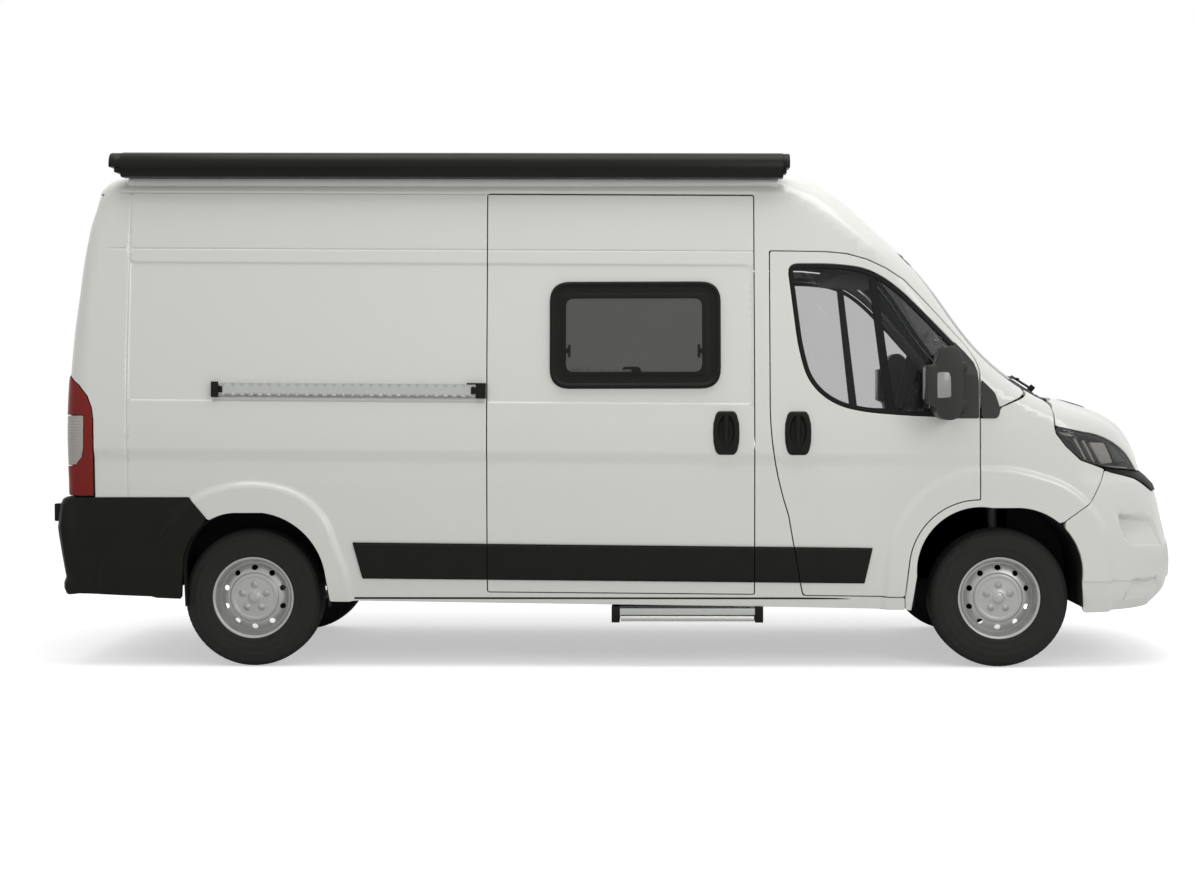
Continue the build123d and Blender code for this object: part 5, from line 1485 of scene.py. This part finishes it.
# ---------------------------------------------------------------- sills, pillars and linings
bm = bmesh.new()
for side in BOTH:
    add_prism(bm, box_outline(-1.50, 1.52, 0.370, 0.381), *band(side, 0.905, 0.990))
    add_prism(bm, box_outline(0.76, 1.50, 0.40, 0.440), *band(side, 0.60, 0.93), edge=0.006)
    add_prism(bm, box_outline(-0.80, 1.50, 0.378, 0.600), *band(side, 0.922, 0.932), edge=0.002)
add_box(bm, (-2.980, -0.835, 0.500), (-2.930, 0.835, 0.553), 0.004)
solid("sills", bm, DARK)
for name, side in SIDES.items():
    panel(f"door_lining_{name}", grow(rounded(DOOR, 0.05), -0.040), CAB, holes=[grow(WINDOW_EDGE, 0.004)],
          sides=(side,), gap=0.0, lift=-0.050, deep=0.012, step=0.05, body=f"door_{name}",
          relief=lambda s, z: 0.0 * s - 0.010 * smooth((1.30 - z) / 0.03) * smooth((z - 0.80) / 0.03))
panel("pillar_linings", box_outline(0.728, 0.788, 0.60, 2.22), CAB, sides=BOTH, gap=0.0, lift=-0.022,
      deep=0.05)
PILLAR = [(1.262, 2.262), (1.340, 2.222), (1.440, 2.176), (1.540, 2.108), (1.838, 1.806), (1.925, 1.700),
          (1.946, 1.560), (1.946, 1.420)] + run(lambda z: screen_edge(z) - 0.012, 1.50, 2.20, 10)
HEADER = [(0.730, 2.252), (1.112, 2.247), (1.226, 2.236), (1.330, 2.206), (1.250, 2.420), (0.730, 2.470)]
for label, outline in (("screen_pillar_linings", PILLAR), ("header_linings", HEADER)):
    panel(label, outline, CAB, sides=BOTH, gap=0.0, lift=-0.022, deep=0.012, step=0.06)
FIREWALL = [(0.52, 0.57), (0.52, 0.89), (0.93, 0.89), (0.93, 1.30), (0.80, 1.385)]
FIREWALL = [(-0.52, 0.57)] + FIREWALL + [(-y, z) for y, z in FIREWALL[:0:-1]]
prism("firewall", FIREWALL, 2.151, 2.162, CAB, axis="x")
SHELF = [(1.20, 2.130), (1.500, 2.110), (1.585, 2.150), (1.560, 2.200), (1.22, 2.230), (1.19, 2.180)]
prism("overhead_shelf", soften(SHELF, 0.03), -0.720, 0.720, CAB, edge=0.012, segments=3)

# ---------------------------------------------------------------- dashboard and steering wheel
DASH = [(2.149, 0.910), (2.149, 1.384), (2.010, 1.384), (1.930, 1.378), (1.830, 1.345), (1.800, 1.310),
        (1.796, 1.240), (1.850, 1.150), (1.884, 1.060), (1.896, 0.920)]
CONSOLE = [(1.800, 0.64), (1.900, 0.64), (1.900, 1.24), (1.770, 1.26), (1.752, 1.10)]
HOOD = [(0.265, 1.335), (0.300, 1.383), (0.600, 1.383), (0.635, 1.335)]
bm = bmesh.new()
add_prism(bm, soften(DASH, 0.04), -0.852, 0.852, "y", 0.014, 3)
add_prism(bm, soften(CONSOLE, 0.04), -0.17, 0.17, "y", 0.015, 3)
add_prism(bm, soften(HOOD, 0.02), 1.800, 1.930, "x", 0.010, 3)
for y in (-0.76, -0.24, 0.24, 0.76):
    add_prism(bm, circle(y, 1.290, 0.042, 24), 1.782, 1.810, "x", 0.006)
add_box(bm, (1.781, -0.66, 1.13), (1.86, -0.30, 1.22), 0.008)
dash = solid("dashboard_skin", bm, CAB)
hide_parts("dashboard")
prism("dashboard_screen", soften(box_outline(-0.11, 0.11, 1.262, 1.342), 0.01), 1.764, 1.800, PANE, axis="x",
      slot=None)

HUB = Vector((1.612, 0.450, 1.234))
LEAN = Matrix.Rotation(radians(-45), 3, "Y")


def on_column(x, y, z):
    """A point in the steering wheel's own axes."""
    return HUB + LEAN @ Vector((x, y, z))


def add_ring(bm, major, minor, count=72, around=14):
    """The steering wheel's rim, square to the leaning column."""
    rings = []
    turns = np.arange(around) * 2 * pi / around
    for t in np.arange(count) * 2 * pi / count:
        reach = [major + minor * cos(p) for p in turns]
        places = [on_column(r * cos(t), r * sin(t), minor * sin(p)) for r, p in zip(reach, turns)]
        rings.append([bm.verts.new(place) for place in places])
    for a, b in zip(rings, rings[1:] + rings[:1]):
        for j in range(around):
            k = (j + 1) % around
            bm.faces.new((a[j], b[j], b[k], a[k]))


bm = bmesh.new()
add_ring(bm, 0.186, 0.0165)
for x, y in ((0, 0.18), (0, -0.18), (-0.18, 0)):
    add_rod(bm, on_column(0, 0, -0.012), on_column(x, y, 0), 0.013, 10)
add_rod(bm, on_column(0, 0, -0.030), on_column(0, 0, 0.014), 0.066, 32)
add_rod(bm, on_column(0, 0, -0.030), on_column(0, 0, -0.270), 0.040, 24)
wheel = solid("steering_wheel_rim", bm, CAB, angle=40)
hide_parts("steering_wheel")


# ---------------------------------------------------------------- seats
def cushion(name, size, at, lean, channels, puff):
    """A stuffed block: rounded, swollen in the middle and drawn in along stitched channels."""
    bm = bmesh.new()
    bmesh.ops.create_cube(bm, size=1.0)
    bmesh.ops.subdivide_edges(bm, edges=bm.edges, cuts=27, use_grid_fill=True)
    half = Vector(size) / 2
    corner = 0.035
    turn = Matrix.Rotation(radians(lean), 3, "Y")
    for v in bm.verts:
        p = Vector(v.co[i] * size[i] for i in range(3))
        core = Vector(max(-half[i] + corner, min(half[i] - corner, p[i])) for i in range(3))
        out = p - core
        if out.length > 1e-9:
            p = core + out.normalized() * min(corner, max(abs(value) for value in out))
        u = [p[i] / half[i] for i in range(3)]
        swell = (1 - u[1] ** 4) * (1 - u[0] ** 4)
        seam = sum(ridge_at(p[1] - c, 0.008) for c in channels)
        p[2] += np.sign(u[2]) * (puff * swell - 0.007 * seam * swell) * min(1, abs(u[2]) ** 2)
        p[1] *= 1 + 0.03 * (1 - u[2] ** 2) * (1 - u[0] ** 4)
        v.co = turn @ p + Vector(at)
    made = solid(name, bm, CLOTH, angle=180)
    return made


for name, side in SIDES.items():
    y = side * 0.45
    seat = cushion(f"seat_cushion_{name}", (0.46, 0.475, 0.115), (1.135, y, 0.945), -3, (-0.13, 0.13), 0.010)
    cushion(f"seat_back_{name}", (0.62, 0.460, 0.085), (0.900, y, 1.322), -80.5, (-0.12, 0.12), 0.009)
    cushion(f"head_rest_{name}", (0.165, 0.250, 0.072), (0.846, y, 1.745), -82, (), 0.006)
    if name == "right":
        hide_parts("cab_seats")
    bm = bmesh.new()
    add_box(bm, (0.925, y - 0.20, 0.602), (1.315, y + 0.20, 0.880), 0.02)
    for dy in (-0.06, 0.06):
        add_rod(bm, (0.862, y + dy, 1.60), (0.850, y + dy, 1.69), 0.006)
    solid(f"seat_box_{name}", bm, CAB)

# ---------------------------------------------------------------- engine bay
bm = bmesh.new()
cover = soften([(2.36, 0.92), (2.70, 0.90), (2.72, 0.98), (2.66, 1.075), (2.36, 1.095)], 0.03)
add_prism(bm, cover, -0.30, 0.30, "y", 0.018, 3)
for y in (-0.21, -0.105, 0.0, 0.105, 0.21):
    add_box(bm, (2.40, y - 0.012, 1.072), (2.62, y + 0.012, 1.1), 0.005)
add_rod(bm, (2.50, -0.27, 1.06), (2.50, -0.27, 1.115), 0.026, 20)
solid("engine_cover", bm, CAB)
bm = bmesh.new()
add_box(bm, (2.30, 0.36, 0.88), (2.56, 0.54, 1.06), 0.010)
for x in (2.34, 2.52):
    add_rod(bm, (x, 0.40, 1.05), (x, 0.40, 1.075), 0.010)
tank = soften([(2.28, 0.88), (2.56, 0.88), (2.58, 1.05), (2.30, 1.10)], 0.04)
add_prism(bm, tank, -0.58, -0.36, "y", 0.02, 3)
add_box(bm, (2.20, -0.78, 0.88), (2.50, 0.78, 0.892), 0.004)
add_box(bm, (2.86, -0.50, 0.40), (2.90, 0.50, 0.96), 0.006)
solid("engine_bay_parts", bm, CAST)

# ---------------------------------------------------------------- finishes of the CAD nodes still shown
for look, shown in ((DARK, ("floor_pan", "chassis_frame")),
                    (CAST, ("rear_axle", "front_knuckle_right", "front_knuckle_left", "engine_block"))):
    for node in shown:
        NODES[node].data.materials.clear()
        NODES[node].data.materials.append(look)


# ---------------------------------------------------------------- stage and light
def make_floor(reach=60):
    """A pale floor that glows a little towards the camera, so that it runs into the background."""
    floor = material("stage_floor", (0.8, 0.8, 0.8), 0.8, vary=0.01)
    tree = floor.node_tree
    glow = add_node(tree, "Emission")
    share, both = add_node(tree, "Math"), add_node(tree, "AddShader")
    share.operation = "MULTIPLY"
    share.inputs[1].default_value = 0.47
    tree.links.new(add_node(tree, "LightPath").outputs["Is Camera Ray"], share.inputs[0])
    tree.links.new(share.outputs[0], glow.inputs["Strength"])
    tree.links.new(tree.nodes["Principled BSDF"].outputs[0], both.inputs[0])
    tree.links.new(glow.outputs[0], both.inputs[1])
    tree.links.new(both.outputs[0], tree.nodes["Material Output"].inputs["Surface"])
    mesh = bpy.data.meshes.new("stage_floor")
    corners = [(x, y, 0) for x, y in box_outline(-reach, reach, -reach, reach)]
    mesh.from_pydata(corners, [], [(0, 1, 2, 3)])
    mesh.materials.append(floor)
    ground = bpy.data.objects.new("stage_floor", mesh)
    bpy.context.scene.collection.objects.link(ground)


def make_sky():
    """A white surround, a little darker as a light than as what is seen, mirrored or shines through."""
    world = bpy.data.worlds.new("studio")
    bpy.context.scene.world = world
    world.use_nodes = True
    tree = world.node_tree
    rays = add_node(tree, "LightPath").outputs
    seen = rays["Is Camera Ray"]
    for ray in ("Is Glossy Ray", "Is Transmission Ray"):
        either = add_node(tree, "Math")
        either.operation = "MAXIMUM"
        tree.links.new(seen, either.inputs[0])
        tree.links.new(rays[ray], either.inputs[1])
        seen = either.outputs[0]
    strength = add_node(tree, "MapRange", To_Min=0.62, To_Max=1.0)
    tree.links.new(seen, strength.inputs["Value"])
    tree.links.new(strength.outputs["Result"], tree.nodes["Background"].inputs["Strength"])
    tree.nodes["Background"].inputs["Color"].default_value = (1, 1, 1, 1)


def make_light(name, at, aim, size, power):
    data = bpy.data.lights.new(name, "AREA")
    data.shape = "RECTANGLE"
    data.size, data.size_y = size
    data.energy = power
    lamp = bpy.data.objects.new(name, data)
    lamp.location = at
    lamp.rotation_euler = (Vector(aim) - Vector(at)).to_track_quat("-Z", "Y").to_euler()
    bpy.context.scene.collection.objects.link(lamp)


make_floor()
make_sky()
make_light("top", (0.0, -1.5, 6.5), (0, 0, 1.5), (8.0, 3.5), 260)
make_light("key", (5.5, -8.0, 4.5), (0.5, 0, 1.2), (3.0, 3.0), 140)
bpy.context.scene.view_settings.view_transform = "Standard"
